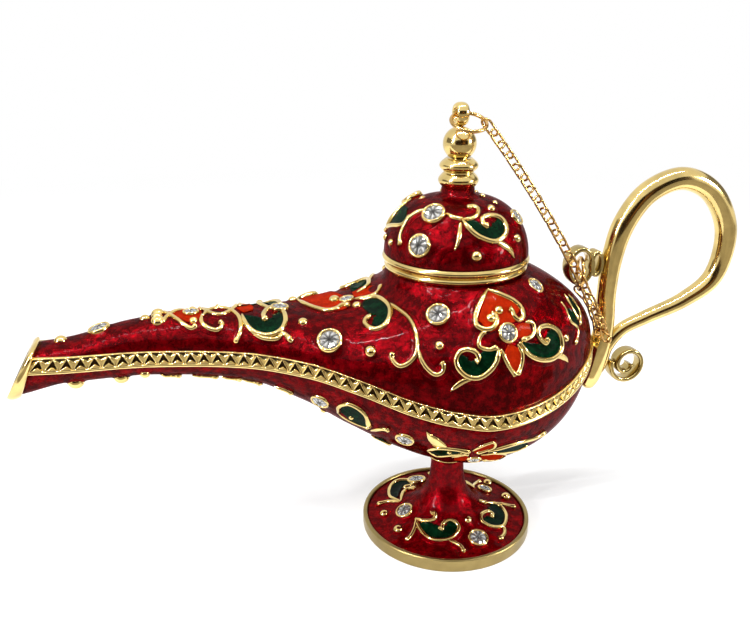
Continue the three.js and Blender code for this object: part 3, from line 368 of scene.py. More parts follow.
def build_band(look):
    """Gold band on the seam: zig-zag ridges between a thin upper wire and a smooth lower rim.

    The outer face is a relief over distance along and height: a ridge follows a triangle wave, each cell
    above it is scooped out at its top, and each cell under it is sunk over a low swelling."""
    s, place, out = seam_path(2400)
    teeth = 2 * round(s[-1] / TOOTH_PITCH / 2)
    wave = 1 - np.abs(2 * ((s * teeth / s[-1]) % 1) - 1)[:, None]
    height = np.linspace(-1, 1, 29)[None, :]
    low, high = -0.62, 0.84
    ridge_at = low + (high - low) * wave
    field = np.clip((height - low + 0.05) / 0.08, 0, 1) * np.clip((high + 0.06 - height) / 0.06, 0, 1)
    scoop = np.clip((height - high + 0.42 * (high - ridge_at)) / 0.16, 0, 1) * (height > ridge_at)
    swell = np.clip((low + 0.4 * (ridge_at - low) - height) / 0.12, 0, 1)
    sunk = np.clip((ridge_at - height - 0.06) / 0.14, 0, 1) * (1 - swell)
    # Painted shade, partly patina: the scooped tops and sunk cells are also darkened in colour, for the shade in these
    # recesses
    painted_dark = np.clip(0.95 * scoop + sunk, 0, 1) * field
    ridge = np.exp(-((height - ridge_at) / 0.12) ** 2)
    relief = 0.2 * ridge - 0.3 * scoop - 0.5 * sunk + 0.12 * swell
    lower_rim = 0.26 * np.sqrt(np.clip(1 - ((height + 0.83) / 0.2) ** 2, 0, 1))
    upper_wire = 0.16 * np.sqrt(np.clip(1 - ((height - 0.94) / 0.07) ** 2, 0, 1))
    proud = BAND_PROUD * 0.6 + relief * field + (lower_rim + upper_wire) * (1 - field)
    half = BAND_HEIGHT / 2
    outward = np.concatenate([proud, np.full((len(s), 2), -BAND_WALL)], 1)
    rise = np.concatenate([height * half, [[half, -half]]], 1)
    flat = place[:, None] + out[:, None] * outward[..., None]
    x = np.clip(flat[..., 0], -SPOUT_REACH, STERN_REACH)
    z = hull(x.ravel())[1].reshape(x.shape) + rise
    band = Skin()
    band.tube(np.stack([flat[..., 0] + lean_at(x) * rise, flat[..., 1], z], -1))
    depth = np.concatenate([painted_dark, np.zeros((len(s), 2))], 1).ravel()
    band.make("zigzag_band", look["band"], "gold_plate", "lamp", ["seam_band"], painted_darkness=np.append(depth, (0, 0)))


def build_lip(look):
    """Thick rounded lip round the slanted mouth, with the blind recess behind it: scaled hull sections."""
    half, seam, crown, keel = (v[0] for v in hull(np.array([-SPOUT_REACH])))
    angle = np.linspace(0, 2 * np.pi, 72, endpoint=False)

    def ring(shift, grow, lean):
        c, s = np.cos(angle), np.sin(angle)
        power = np.where(s > 0, 2 / UPPER_SQUARENESS, 2 / LOWER_SQUARENESS)
        rise = (np.where(s > 0, crown, keel) + grow) * np.sign(s) * np.abs(s) ** power
        y = (half + grow) * np.sign(c) * np.abs(c) ** power
        return np.stack([-SPOUT_REACH + shift + lean * rise, y, seam + rise], -1)

    bulge = np.linspace(0, 1, 9)
    rings = [ring(MOUTH_DEPTH, -MOUTH_WALL + 0.3, MOUTH_SLANT), ring(0, -MOUTH_WALL + 0.3, MOUTH_SLANT)]
    rings += [ring(-LIP_ROLL * share, LIP_PROUD * (0.2 + 1.6 * np.sin(np.pi * (0.1 + 0.8 * share)) ** 0.7),
                   MOUTH_SLANT + LIP_LEAN * share) for share in bulge]
    rings += [ring(-LIP_ROLL, -MOUTH_WALL * 0.7, MOUTH_SLANT + LIP_LEAN),
              ring(-LIP_ROLL * 0.5, -MOUTH_WALL, MOUTH_SLANT + LIP_LEAN),
              ring(MOUTH_DEPTH - 0.3, -MOUTH_WALL, MOUTH_SLANT)]
    lip = Skin()
    lip.tube(np.array(rings))
    lip.make("mouth_lip", look["gold"], "gold_plate", "lamp", ["spout_lip"])


# Turned pieces

def dish_outline(count=60):
    """Outer sweep of the foot from its edge to the top of the stem, as (radius, height)."""
    t = np.linspace(0, 1, count)
    return np.stack([STEM_RADIUS + (DISH_RADIUS - STEM_RADIUS) * (1 - t) ** 2.6,
                     DISH_EDGE + (PEDESTAL_HEIGHT - DISH_EDGE) * t ** 1.6], -1)


def dome_outline(shrink=0.0, count=60, last=0.94):
    """Quarter oval of the lid's dome from its rim upward, as (radius, height)."""
    angle = np.pi / 2 * np.linspace(0, last, count)
    inner = LID_NECK_RADIUS * 0.9
    return np.stack([inner + (DOME_RADIUS - shrink - inner) * np.cos(angle) ** 0.85,
                     DOME_Z + (DOME_HEIGHT * 0.88 - shrink) * np.sin(angle) ** 1.05], -1)


def bulge_outline(low, high, radius, waist, count=16):
    """A bead's outline, bulging as a half ellipse between two heights."""
    angle = np.pi * (np.linspace(0, 1, count) - 0.5)
    return np.stack([waist + (radius - waist) * np.cos(angle), np.linspace(low, high, count)], -1)


def build_foot(look):
    """Red dish and stem with its gold rim and ring."""
    dish = Skin()
    dish.turn(np.concatenate([[(0.5, 0), (DISH_RADIUS, 0)], dish_outline(), [(0.5, PEDESTAL_HEIGHT)]]), 128)
    # Painted light: the dish and stem take a brighter copy of the red enamel
    dish.make("foot_enamel", look["foot_red"], "red_enamel", "lamp", ["pedestal"])

    rim = Skin()
    edge = 0.35
    angle = np.linspace(0, np.pi / 2, 7)
    outer, inner, top = FOOT_RADIUS, FOOT_RADIUS - FOOT_RIM_WALL, FOOT_RIM_HEIGHT
    low = np.stack([outer - edge + edge * np.sin(angle), edge - edge * np.cos(angle)], -1)
    high = np.stack([outer - edge + edge * np.cos(angle), top - edge + edge * np.sin(angle)], -1)
    back = np.stack([inner + edge - edge * np.sin(angle), top - edge + edge * np.cos(angle)], -1)
    rim.turn(np.concatenate([[(inner, 0)], low, high, back]), 160, looped=True)
    # Painted shade: the rim takes a much darker copy of the gold, with a satin finish
    rim.make("foot_band", look["satin_shaded"], "gold_plate", "lamp", ["foot_rim"])

    ring = Skin()
    ring.turn(bulge_outline(STEM_RING_Z, STEM_RING_Z + STEM_RING_HEIGHT, STEM_RING_RADIUS, STEM_RADIUS))
    ring.make("stem_bead", look["gold"], "gold_plate", "lamp", ["stem_ring"])


def build_lid(look):
    """Collar on the neck, then the lid: gold rim with its spigot, red dome and turned finial with an eye."""
    collar = Skin()
    collar.turn(np.concatenate([
        bulge_outline(COLLAR_Z, COLLAR_Z + COLLAR_HEIGHT, NECK_RADIUS, NECK_RADIUS - 0.45),
        [(NECK_BORE_RADIUS, COLLAR_Z + COLLAR_HEIGHT), (NECK_BORE_RADIUS, COLLAR_Z)]]), 128, looped=True)
    collar.make("neck_ring", look["gold"], "gold_plate", "lamp", ["neck_collar"])

    rim = Skin()
    rim.turn(np.concatenate([
        [(SPIGOT_BORE, LID_Z - SPIGOT_DEPTH), (SPIGOT_RADIUS, LID_Z - SPIGOT_DEPTH), (SPIGOT_RADIUS, LID_Z)],
        bulge_outline(LID_Z, LID_Z + LID_RIM_HEIGHT, LID_RADIUS, LID_RADIUS - 0.45),
        [(SPIGOT_BORE, LID_Z + LID_RIM_HEIGHT)]]), 128, looped=True)
    rim.make("lid_ring", look["gold"], "gold_plate", "lid", ["lid_rim"])

    dome = Skin()
    top = DOME_Z + DOME_HEIGHT
    dome.turn(np.concatenate([
        dome_outline(DOME_WALL, 30)[::-1], dome_outline(),
        [(LID_NECK_RADIUS, DOME_Z + DOME_HEIGHT * 0.93), (LID_NECK_RADIUS, top), (0.5, top)]]), 128)
    dome.make("lid_enamel", look["red"], "red_enamel", "lid", ["lid_dome"])

    finial = Skin()
    angle = np.linspace(-1.1, 1.45, 24)
    second = FINIAL_Z + BEAD_HEIGHT
    finial.turn(np.concatenate([
        bulge_outline(FINIAL_Z, second, LOWER_BEAD_RADIUS, LID_NECK_RADIUS - 0.2),
        bulge_outline(second, second + BEAD_HEIGHT, UPPER_BEAD_RADIUS, LID_NECK_RADIUS - 0.6)[1:],
        np.stack([BALL_RADIUS * np.cos(angle), BALL_Z + BALL_RADIUS * np.sin(angle)], -1)]), 64)
    turn = np.linspace(0, 2 * np.pi, 48, endpoint=False)[:, None]
    tube = np.linspace(0, 2 * np.pi, 16, endpoint=False)[None, :]
    reach = (EYE_RADIUS + EYE_BORE_RADIUS) / 2 + (EYE_RADIUS - EYE_BORE_RADIUS) / 2 * np.cos(tube)
    drop = np.where(np.sin(turn) < 0, EYE_DROP / EYE_RADIUS, 1)
    finial.tube(np.stack(np.broadcast_arrays(
        EYE_THICKNESS / 2 * np.sin(tube), reach * np.cos(turn), EYE_Z + reach * drop * np.sin(turn)), -1), True)
    finial.make("lid_finial", look["gold"], "gold_plate", "lid", ["finial"])


def build_handle(look):
    """Gold handle: a tapered round bar, a rolled volute at its root and a rolled eye with a curl inside."""
    steps = 320
    start = np.array([STERN_REACH + SOLDER_GAP, SEAM_Z])
    flat = spline(HANDLE_BAR[:, :2] + start, steps)
    share = np.linspace(0, 1, len(HANDLE_BAR))
    radius = smooth_through(np.stack([share, HANDLE_BAR[:, 2]], -1), 1, np.linspace(0, 1, steps))
    end = np.minimum(np.arange(steps), np.arange(steps)[::-1]) / 6
    radius = radius * np.sqrt(np.clip(1 - (1 - np.clip(end, 0.04, 1)) ** 2, 0, 1))
    path = np.stack([flat[:, 0], 0 * radius, flat[:, 1]], -1)
    bar = Skin()
    bar.wire(path, radius, np.array([0, 1, 0]), 28)
    bar.make("handle_bar", look["gold"], "gold_plate", "lamp", ["handle_loop"])

    angle = np.linspace(0, 2 * np.pi, 24, endpoint=False)[None, :]
    c, s = np.cos(angle), np.sin(angle)
    out = STRIP_THICKNESS / 2 * np.sign(c) * np.abs(c) ** 0.7
    deep = STRIP_DEPTH / 2 * np.sign(s) * np.abs(s) ** 0.5
    t = np.linspace(0, 1, 150)[:, None]
    turn = np.pi * (0.92 + 2 * VOLUTE_TURNS * t)
    reach = VOLUTE_RADIUS * (1 - VOLUTE_TIGHTENING * t ** 1.7) + out
    scroll = Skin()
    scroll.tube(np.stack([VOLUTE_X + reach * np.cos(turn), deep + 0 * t, VOLUTE_Z + reach * np.sin(turn)], -1))
    # Painted shade: the root scroll and the rolled eye take a darker copy of the gold
    scroll.make("root_scroll", look["shaded"], "gold_plate", "lamp", ["handle_volute"])

    eyes = Skin()
    turn = np.linspace(0, 2 * np.pi, 72, endpoint=False)[:, None]
    for x, z, width, height in EYES_OF_HANDLE:
        wide, tall = ((size - STRIP_THICKNESS) / 2 + out for size in (width, height))
        eyes.tube(np.stack([x + wide * np.cos(turn), deep + 0 * turn, z + tall * np.sin(turn)], -1), True)
    eyes.make("rolled_eye", look["shaded"], "gold_plate", "lamp", ["handle_eye"])


# Rings and chain

def node_points(name):
    """Corners of a CAD node."""
    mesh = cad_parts[name].data
    points = np.zeros(3 * len(mesh.vertices))
    mesh.vertices.foreach_get("co", points)
    return np.unique(np.round(points.reshape(-1, 3) / MM, 4), axis=0)


def node_disc(name):
    """Underside centre, outward direction and radius of a CAD crystal, the flattest way through it."""
    points = node_points(name)
    centre = points.mean(0)
    normal = np.linalg.svd(points - centre, full_matrices=False)[2][2]
    normal = normal * np.sign(normal @ (centre - (centre[0], 0, SEAM_Z)))
    high = (points - centre) @ normal
    flat = points - centre - high[:, None] * normal
    return centre + normal * high.min(), normal, np.linalg.norm(flat, axis=1).max()


def crest_seat(x):
    """Place and outward direction on the upper shell's crest."""
    near = np.array([x - 0.1, x, x + 0.1])
    _, seam, crown, _ = hull(near)
    low, here, high = np.stack([near + lean_at(near) * crown, 0 * near, seam + crown], -1)
    return here, unit(np.cross(high - low, (0, 1, 0)))


def node_axes(name):
    """Centre, axes and half sizes of a CAD node, longest axis first."""
    points = node_points(name)
    centre = points.mean(0)
    axes = np.linalg.svd(points - centre, full_matrices=False)[2]
    half = np.abs((points - centre) @ axes.T).max(0)
    return centre, axes, half


def build_loop(name, piece, wire, body, look):
    """A wire ring or link in place of its CAD node: a torus pulled long by straight sides."""
    centre, axes, half = node_axes(name)
    radius = half[1] - wire / 2
    stretch = max(half[0] - half[1], 0) if half[0] - half[1] > 0.3 else 0
    turn = np.linspace(0, 2 * np.pi, 36, endpoint=False)[:, None] + np.pi / 36
    tube = np.linspace(0, 2 * np.pi, 10, endpoint=False)[None, :]
    reach = radius + wire / 2 * np.cos(tube)
    along = reach * np.cos(turn) + stretch * np.sign(np.cos(turn))
    local = np.stack(np.broadcast_arrays(along, reach * np.sin(turn), wire / 2 * np.sin(tube)), -1)
    loop = Skin()
    loop.tube(centre + local @ axes, True)
    loop.make(piece, look["chain"], "gold_plate", body, [name])


def build_chain(look):
    """Jump rings at the finial and the handle's eye, and every link of the chain."""
    sizes = bpy.context.scene.lamp_sizes
    ring_wire, link_wire = sizes.ring_wire / MM, sizes.link_wire / MM
    build_loop("finial_ring", "finial_jump_ring", ring_wire, "lid", look)
    build_loop("eye_ring", "eye_jump_ring", ring_wire, "lamp", look)
    links = sorted(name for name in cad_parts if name.startswith("chain_link_"))
    for number, name in enumerate(links, 1):
        body = f"link_{number:02d}" if number <= MAIN_LINKS else "lamp"
        build_loop(name, f"link_wire_{number:02d}", link_wire, body, look)


# Ornament, drawn on the photograph in its pixels and carried onto the enamel along the camera's rays.
# A point is x, y; a third number is half the width there, or a bead's or stone's radius.

SHOULDER_BEADS = [
    (303, 322.5, 4.8), (370.5, 351.5, 5.6), (439.5, 345.5, 4.5), (565.5, 338, 3.4), (193.5, 321, 4), (157.8, 321.5, 6.4),
]
CREST_GRAINS = [(334.5, 300, 5), (357, 306, 4.5)]
KEEL_BEADS = [(76.5, 385.5, 7.5), (122, 380, 7), (145, 373.5, 4.8)]
KEEL_SCROLLS = [
    [(161, 373.5), (170, 376.5), (182, 375)],
    [(193, 374.5), (206, 377), (219, 376)],
    [(222, 376.5), (232, 378.5), (242, 378)],
    [(243, 379), (252, 381), (262, 384)],
    [(275, 385.5), (284, 388.5), (294, 393)],
]
SPOUT_PETALS = [
    [(166, 309.5, 1.6), (178.5, 312.7, 4), (191.5, 316.7, 4.8), (201.5, 312.7, 3.2)],
    [(236, 307, 1), (244, 307, 4.5), (253, 309, 1)],
]
SPOUT_SCROLLS = [
    [(158, 312), (167.5, 314.3), (177, 320), (183.5, 324.6), (191.5, 328.6), (197, 325.4)],
    [(201.7, 315), (201.7, 323), (209, 328.6), (218.4, 330), (222.4, 324.6), (219.2, 322.3)],
    [(202.5, 316.7), (209, 311), (220, 308.7), (231, 311), (239.2, 318.3), (240.8, 327.8), (239.2, 335.8), (234.4, 343)],
]
COMMA_LEAF = [(244, 316.7, 0.8), (251.5, 321.8, 4.5), (262, 325.8, 5.7), (272.3, 325.8, 5.7), (277.8, 319.4, 4.5),
              (275.4, 313.8, 2.9)]
COMMA_LEAF_EDGE = [(242, 315.4), (246, 325), (255.5, 333), (270, 335.4), (281, 330.6), (285.5, 321), (282.6, 311.8),
                   (274.6, 308.3), (267.5, 310.2), (263.5, 316.2), (266, 321.8)]
COMMA_LEAF_TAIL = [(246, 327.4), (262, 337.8), (277.8, 338.6), (282.6, 333.8), (293, 342.5)]
CREST_PETALS = [
    [(299.5, 301.5, 0.8), (313, 301.5, 6), (329, 301.5, 8.5), (341.5, 303, 6), (350, 303, 3)],
    [(353, 295.5, 1.9), (365.5, 292.3, 4.4), (376.7, 289, 2.2), (382.3, 286.3, 0.5)],
]
CREST_EDGES = [
    [(298, 301), (306, 305.5), (317, 309.5), (328, 311.5), (337, 309.5), (343, 306), (350, 307)],
    [(355, 300), (366, 299), (377, 294.5), (383, 286)],
]
CREST_LEAF = [(349.6, 287.2, 1.3), (357.6, 284.3, 3.5), (366.3, 280.8, 0.6)]
CURLED_LEAF = [(362.7, 305.4, 1.6), (370.3, 306, 6.4), (379, 307.5, 8), (383, 314.6, 6.1), (379, 321.8, 4.5),
               (372.7, 321, 2.9)]
CURLED_LEAF_EDGE = [(362.3, 300.3), (378.3, 298.4), (389.4, 306.7), (390.2, 316.2), (385.5, 325), (376.7, 329.8),
                    (368, 327.4), (365.2, 322.6), (368.7, 317.8), (372, 317.8)]
VINE = [(387, 302.7), (399, 310), (410, 319.4), (415.7, 332), (417.3, 345), (415, 356), (407, 364), (399, 365.7),
        (392.6, 359.3), (391.8, 352)]
VINE_BRANCH = [(418, 348), (421.3, 359.3), (427.7, 369), (435.7, 374.4), (442, 372), (443.6, 365.7), (441.3, 361)]
FLOWER_CROWN = [(486.8, 290.6, 0.3), (489.4, 297.2, 6.9), (494, 305.3, 13.8), (498, 313.3, 18.9), (500, 320, 15),
                (503, 327, 12)]
FLOWER_SCROLLS = [
    [(487, 290.3), (481.3, 300.7), (476.2, 313.3), (475.6, 323.6), (480.2, 328.2), (488.2, 329.4), (494, 326),
     (496.3, 320.2), (494, 315.6), (489.4, 314.4)],
    [(487, 290.3), (499.7, 295), (513.5, 301.8), (521, 309.8), (522, 316.7), (518, 320.2), (513.5, 316.7), (511.2, 311),
     (507.7, 308.7)],
    [(524.4, 322.5), (530.7, 322.5), (533.6, 329.4), (530.7, 336.2), (520.4, 340.3)],
    [(486, 334), (483.6, 332.8), (479, 339.7), (479.6, 346.6), (489.4, 349.5), (497.4, 346.6)],
    [(517, 344.3), (521.5, 354.6), (520.4, 365), (516.3, 375.3)],
    [(500.8, 349), (505.4, 360.4), (511.2, 370.7), (515.2, 375.3)],
]
STERN_EDGES = [
    [(560.6, 301.8), (565, 310), (569.7, 321.3), (576, 327), (577, 335), (574.5, 344.5)],
    [(564, 294.5), (568.5, 303), (573, 311.5), (577.5, 319.5)],
    [(568, 294.9), (574.9, 304.7), (579.5, 315.6), (579, 325)],
]
FLOWER_BEADS = [(490.5, 318, 4.6), (498.5, 310.4, 4.6)]
FLOWER_PETALS = [
    [(515, 334, 4), (522.5, 330.5, 6.3), (530, 328.5, 4)],
    [(509, 344.3, 1.1), (512.3, 354.6, 8), (514.6, 365, 5.2), (515.8, 375.3, 0.5)],
]
FLOWER_LEAVES = [
    [(520.4, 342.6, 0.9), (530.7, 349, 5.2), (543.3, 352.3, 6.7), (553, 345.4, 6), (553, 336.3, 4.8), (547.3, 333.4, 2.9)],
    [(496.8, 350, 3.4), (489.4, 357, 6.9), (480.2, 367.2, 7.5), (468.7, 368.4, 6.3), (463, 361.5, 4.6), (465.3, 356.3, 2.5)],
    [(566.8, 297.2, 0.9), (572, 304, 2.3), (577.2, 313.3, 1.1)],
    [(568, 308.7, 0.9), (572, 316.7, 2), (577.2, 324.8, 0.9)],
]
FLOWER_LEAF_EDGES = [
    [(519.2, 342), (527.2, 353.5), (537.6, 359.2), (550.2, 359.2), (558.8, 352.3), (560.5, 342), (556, 330.5), (546.8, 326),
     (538.7, 328.2), (537, 334), (541, 340.8), (545, 343), (546.2, 337.4)],
    [(498, 347.7), (496.8, 359.2), (489.4, 370.7), (478, 377.6), (467.6, 376.4), (458.4, 368.4), (456, 359.2), (460.7, 351.2),
     (468.7, 349.5), (476.7, 353.5), (478, 359.2), (474.4, 362)],
]
FLOWER_TAILS = [
    [(551.4, 359.2, 1.1), (559.4, 355.8, 2.9), (564.6, 358.6, 2.3), (566.8, 362, 0.3)],
    [(473.3, 378.7, 1.1), (464, 381, 2.5), (455, 386.8, 2.1), (450.3, 390.8, 0.4)],
]
LID_BEADS = [(476.4, 256.3, 5.2), (516.6, 238.5, 4), (490.8, 208.7, 4), (391.5, 242.6, 3.4), (482.2, 196, 2.8),
             (494.8, 203, 2.8), (422.5, 198.4, 2.8)]
LID_SCROLLS = [
    [(446.6, 214), (453.5, 218), (459.2, 219), (462, 220.2)],
    [(462.7, 219.6), (471.8, 219), (477.6, 214.4), (477.6, 209.8), (473, 207), (467.2, 208.7)],
    [(426, 210.4), (416.7, 213.3), (408.7, 220.2), (403, 230.5), (400.7, 239.7), (401.8, 245.4)],
    [(385.7, 229.4), (390.3, 226), (403, 224.8), (412, 215.6)],
    [(462, 220.2), (469.5, 229.4), (480, 237.4), (494.8, 241.4), (504, 235), (505, 226), (499.4, 218.5), (490.2, 216.2),
     (482.2, 219), (483.3, 224.8), (488, 227)],
]
LID_LEAVES = [
    [(463.2, 221, 0.7), (471.8, 226, 4.6), (481, 232.2, 5.7), (492.5, 234, 6.3), (499.4, 228.2, 5.2), (494.8, 221.3, 3.4)],
    [(389.8, 224.8, 1.1), (398.4, 218, 5.2), (407, 207, 1.1)],
]
LID_TAILS = [
    [(460.4, 223.6, 1.7), (459.4, 235, 2.3), (456.7, 245.4, 1.6), (454.6, 250.6, 0.5)],
    [(496, 241.4, 1.4), (504, 245.4, 2.9), (509.7, 250, 2.3), (513.2, 258, 0.3)],
]
BOWL_STONES = [(320.7, 400, 10.3), (405.3, 438, 10.3), (474, 458.3, 7.5)]
BOWL_BEADS = [(323.2, 410.3, 3), (351.4, 417.3, 2.6), (449.3, 452.3, 2.2)]
BOWL_LEAVES = [
    [(341, 409, 1.7), (347, 410, 4), (354.6, 414, 5.4), (361.5, 419, 4.6), (368, 425.5, 1)],
    [(374.6, 438, 1), (382, 441.5, 2), (389.5, 445.5, 0.8)],
    [(430.2, 450.5, 1), (442.6, 451.3, 3), (456, 451.6, 2.6), (469, 451.3, 0.7)],
    [(489, 451.3, 0.8), (502.3, 449, 2.3), (515.6, 446.3, 2.8), (527.2, 442.5, 1)],
]
BOWL_SCROLLS = [
    [(338.2, 412), (339.6, 405.8), (347.7, 403.2), (357.2, 406.7), (365.8, 414.4), (370.3, 427)],
    [(371.3, 429.7), (383, 428), (390.4, 429.2)],
    [(427.7, 449.6), (437.6, 447.2), (454.2, 448.3), (470.8, 451)],
    [(488, 450.6), (505.3, 445.6), (520.8, 441), (534.5, 437.2), (545, 431)],
]
BOWL_EDGES = [
    [(338.6, 412.5), (345, 417), (353, 421.3), (362, 425), (370, 427.5)],
    [(371, 435.6), (379.5, 439.5), (391, 445.5)],
    [(427.8, 450.3), (436.4, 454.9), (450.2, 454.6), (466, 452.6)],
    [(452, 456.6), (462.2, 454.4), (469, 453.2)],
    [(472.5, 450.3), (482.9, 444.9), (493.6, 442), (495, 445.3), (485.5, 450), (476, 452.3)],
    [(481, 454.3), (493, 452.5), (505, 454), (498.4, 458), (489, 459.6), (482, 458.8)],
    [(490, 453), (505, 451.8), (516, 449.8), (527.5, 444)],
]
BOWL_PETALS = [
    [(474, 451, 1), (484, 447.6, 2.5), (493.2, 444, 1)],
    [(481, 456.5, 1.7), (492.3, 456.3, 2.8), (503, 454.6, 0.7)],
    [(454.2, 457.6, 1.3), (464.2, 456.6, 2.2), (468, 456, 1)],
]
BOWL_TAILS = [[(426.8, 431, 0.3), (430.2, 437.2, 2.7), (436, 442.2, 4), (446.7, 446, 0.7)]]
FOOT_FRONT_STONES = [(477.8, 539, 10.7)]
FOOT_STONES = [(405, 511.7, 9.5), (484.5, 489.7, 7.5)]
FOOT_BEADS = [(384, 514, 4), (398, 529.7, 4.5), (505.7, 497, 4.5), (468, 520, 3.6), (487.5, 483, 4)]
FOOT_FRONT_LEAVES = [
    [(419.7, 523.6, 1.5), (427.5, 529, 5.5), (438.5, 533.3, 5.8), (449.4, 531, 5.5), (451.2, 524.8, 4.2), (448, 522.4, 2.2)],
]
FOOT_LEAVES = [
    [(395.4, 497.6, 2.4), (394.8, 491, 4.6), (399.7, 484.8, 3.4), (408.2, 483, 1.7)],
    [(489.3, 506, 2.4), (497.2, 512.7, 4.8), (496.6, 521.2, 4.8), (487, 521.2, 3.6), (484.5, 517.5, 2.2)],
]
FOOT_FRONT_SCROLLS = [
    [(415.4, 518.8), (420.3, 529.7), (430, 538.8), (442, 540.6), (453, 537), (458.8, 528.5), (455.4, 522.4), (449.4, 520),
     (443.3, 523.6), (442, 529.7), (439, 527.2)],
    [(415.4, 518.8), (425, 521.2), (434.8, 518.8), (434.8, 512.7), (430.6, 514)],
    [(416.6, 518.8), (415.4, 527.2), (410.6, 537), (405.7, 541.5)],
    [(449.4, 541.2), (456.6, 544.2), (461.5, 547.8), (464, 553.3)],
]
FOOT_SCROLLS = [
    [(401, 501.8), (390, 497), (389.4, 489.7), (394.8, 482.4), (404.5, 480.6), (413, 481.8), (411.8, 485.4), (403.3, 489)],
    [(401, 501.8), (403.3, 493.3), (408.2, 489.7), (415.4, 489)],
    [(399.7, 502.4), (387.6, 502.4), (376.7, 505.4)],
    [(485.7, 503), (497.8, 505.4), (505.7, 515), (503.3, 526), (491.8, 527.2), (481.5, 521.2), (481, 515), (487, 512),
     (492.4, 515), (490.6, 518.2)],
    [(503.3, 526), (504.5, 533.3), (499.6, 540.6)],
    [(478.4, 500.6), (485.7, 504.2)],
    [(496.6, 503.6), (506.3, 506), (516, 508)],
]


def hull_field(p):
    """Below zero inside the hull: the superellipse of the section that the point lies in."""
    x = p[..., 0]
    seam = hull(x)[1]
    x = x - lean_at(x) * (p[..., 2] - seam)
    half, seam, crown, keel = hull(x)
    rise = p[..., 2] - seam
    above = rise > 0
    power = np.where(above, UPPER_SQUARENESS, LOWER_SQUARENESS)
    reach = np.where(above, crown, keel)
    value = (np.abs(p[..., 1]) / np.maximum(half, 0.1)) ** power + (np.abs(rise) / np.maximum(reach, 0.1)) ** power
    return np.where((x > -SPOUT_REACH) & (x < STERN_REACH), value ** (1 / power) - 1, 1)


def turned_field(outline):
    """Below zero inside a turned piece whose outline goes upward."""
    def field(p):
        inside = (p[..., 2] > outline[0, 1]) & (p[..., 2] < outline[-1, 1])
        gap = np.hypot(p[..., 0], p[..., 1]) - np.interp(p[..., 2], outline[:, 1], outline[:, 0])
        return np.where(inside, gap / 10, 1)
    return field


def slope_of(field, p):
    """Gradient of a field by central differences."""
    step = 0.04 * np.eye(3)
    return np.stack([(field(p + d) - field(p - d)) / 0.08 for d in step], -1)


def cast(field, pixels):
    """First meeting of each pixel's ray with a surface, its outward direction, and mm per pixel there.

    A ray that just misses is moved to the nearest surface, so that nothing floats."""
    place, right, forward, up = camera_axes()
    pixels = np.asarray(pixels, float)
    across = (pixels[:, :1] - IMAGE_WIDTH / 2) / FOCAL_PIXELS
    down = (pixels[:, 1:2] - IMAGE_HEIGHT / 2) / FOCAL_PIXELS
    ray = forward + across * right - down * up
    depth = np.linspace(90, 230, 420)
    value = field(place + ray[:, None] * depth[None, :, None])
    hit = value < 0
    first = np.where(hit.any(1), hit.argmax(1), value.argmin(1))
    low, high = depth[np.maximum(first - 1, 0)], depth[first]
    for _ in range(16):
        middle = (low + high) / 2
        outside = field(place + ray * middle[:, None]) > 0
        low, high = np.where(outside, middle, low), np.where(outside, high, middle)
    depth = np.where(hit.any(1), high, depth[first])
    return *settle(field, place + ray * depth[:, None]), depth / FOCAL_PIXELS


def settle(field, points):
    """Points moved onto a surface along its slope, and the outward direction there."""
    for _ in range(4):
        slope = slope_of(field, points)
        points = points - (field(points) / np.maximum((slope ** 2).sum(-1), 1e-9))[..., None] * slope * 0.9
    return points, unit(slope_of(field, points))


# A stone's rows from girdle to table: radius and height as shares, then painted reflections: darkness of odd and even
# corners
STONE_ROWS = [(0.7, 0.05, 0.9, 0.9), (0.77, 0.24, 0.75, 0.45), (0.62, 0.36, 0.8, 0.1), (0.4, 0.4, 0.85, 0),
              (0.2, 0.41, 0.9, 0.55)]


def stone_painted_reflections():
    """Painted reflections: darkness of a stone's corners, its girdle's and table's middle last."""
    rows = np.array(STONE_ROWS)[:, 2:]
    return np.append(np.tile(rows, 8).ravel(), (1, 1))


# Enamel drawn up to what is set in it: reach in mm, then height in mm or as a share of a radius
WIRE_MENISCUS, BEAD_MENISCUS, STONE_MENISCUS = (0.7, 0.35), (0.7, 0.3), (1.3, 0.2)
EDGE_RADIUS, SCROLL_RADIUS, FINE_RADIUS = 0.48, 0.4, 0.28


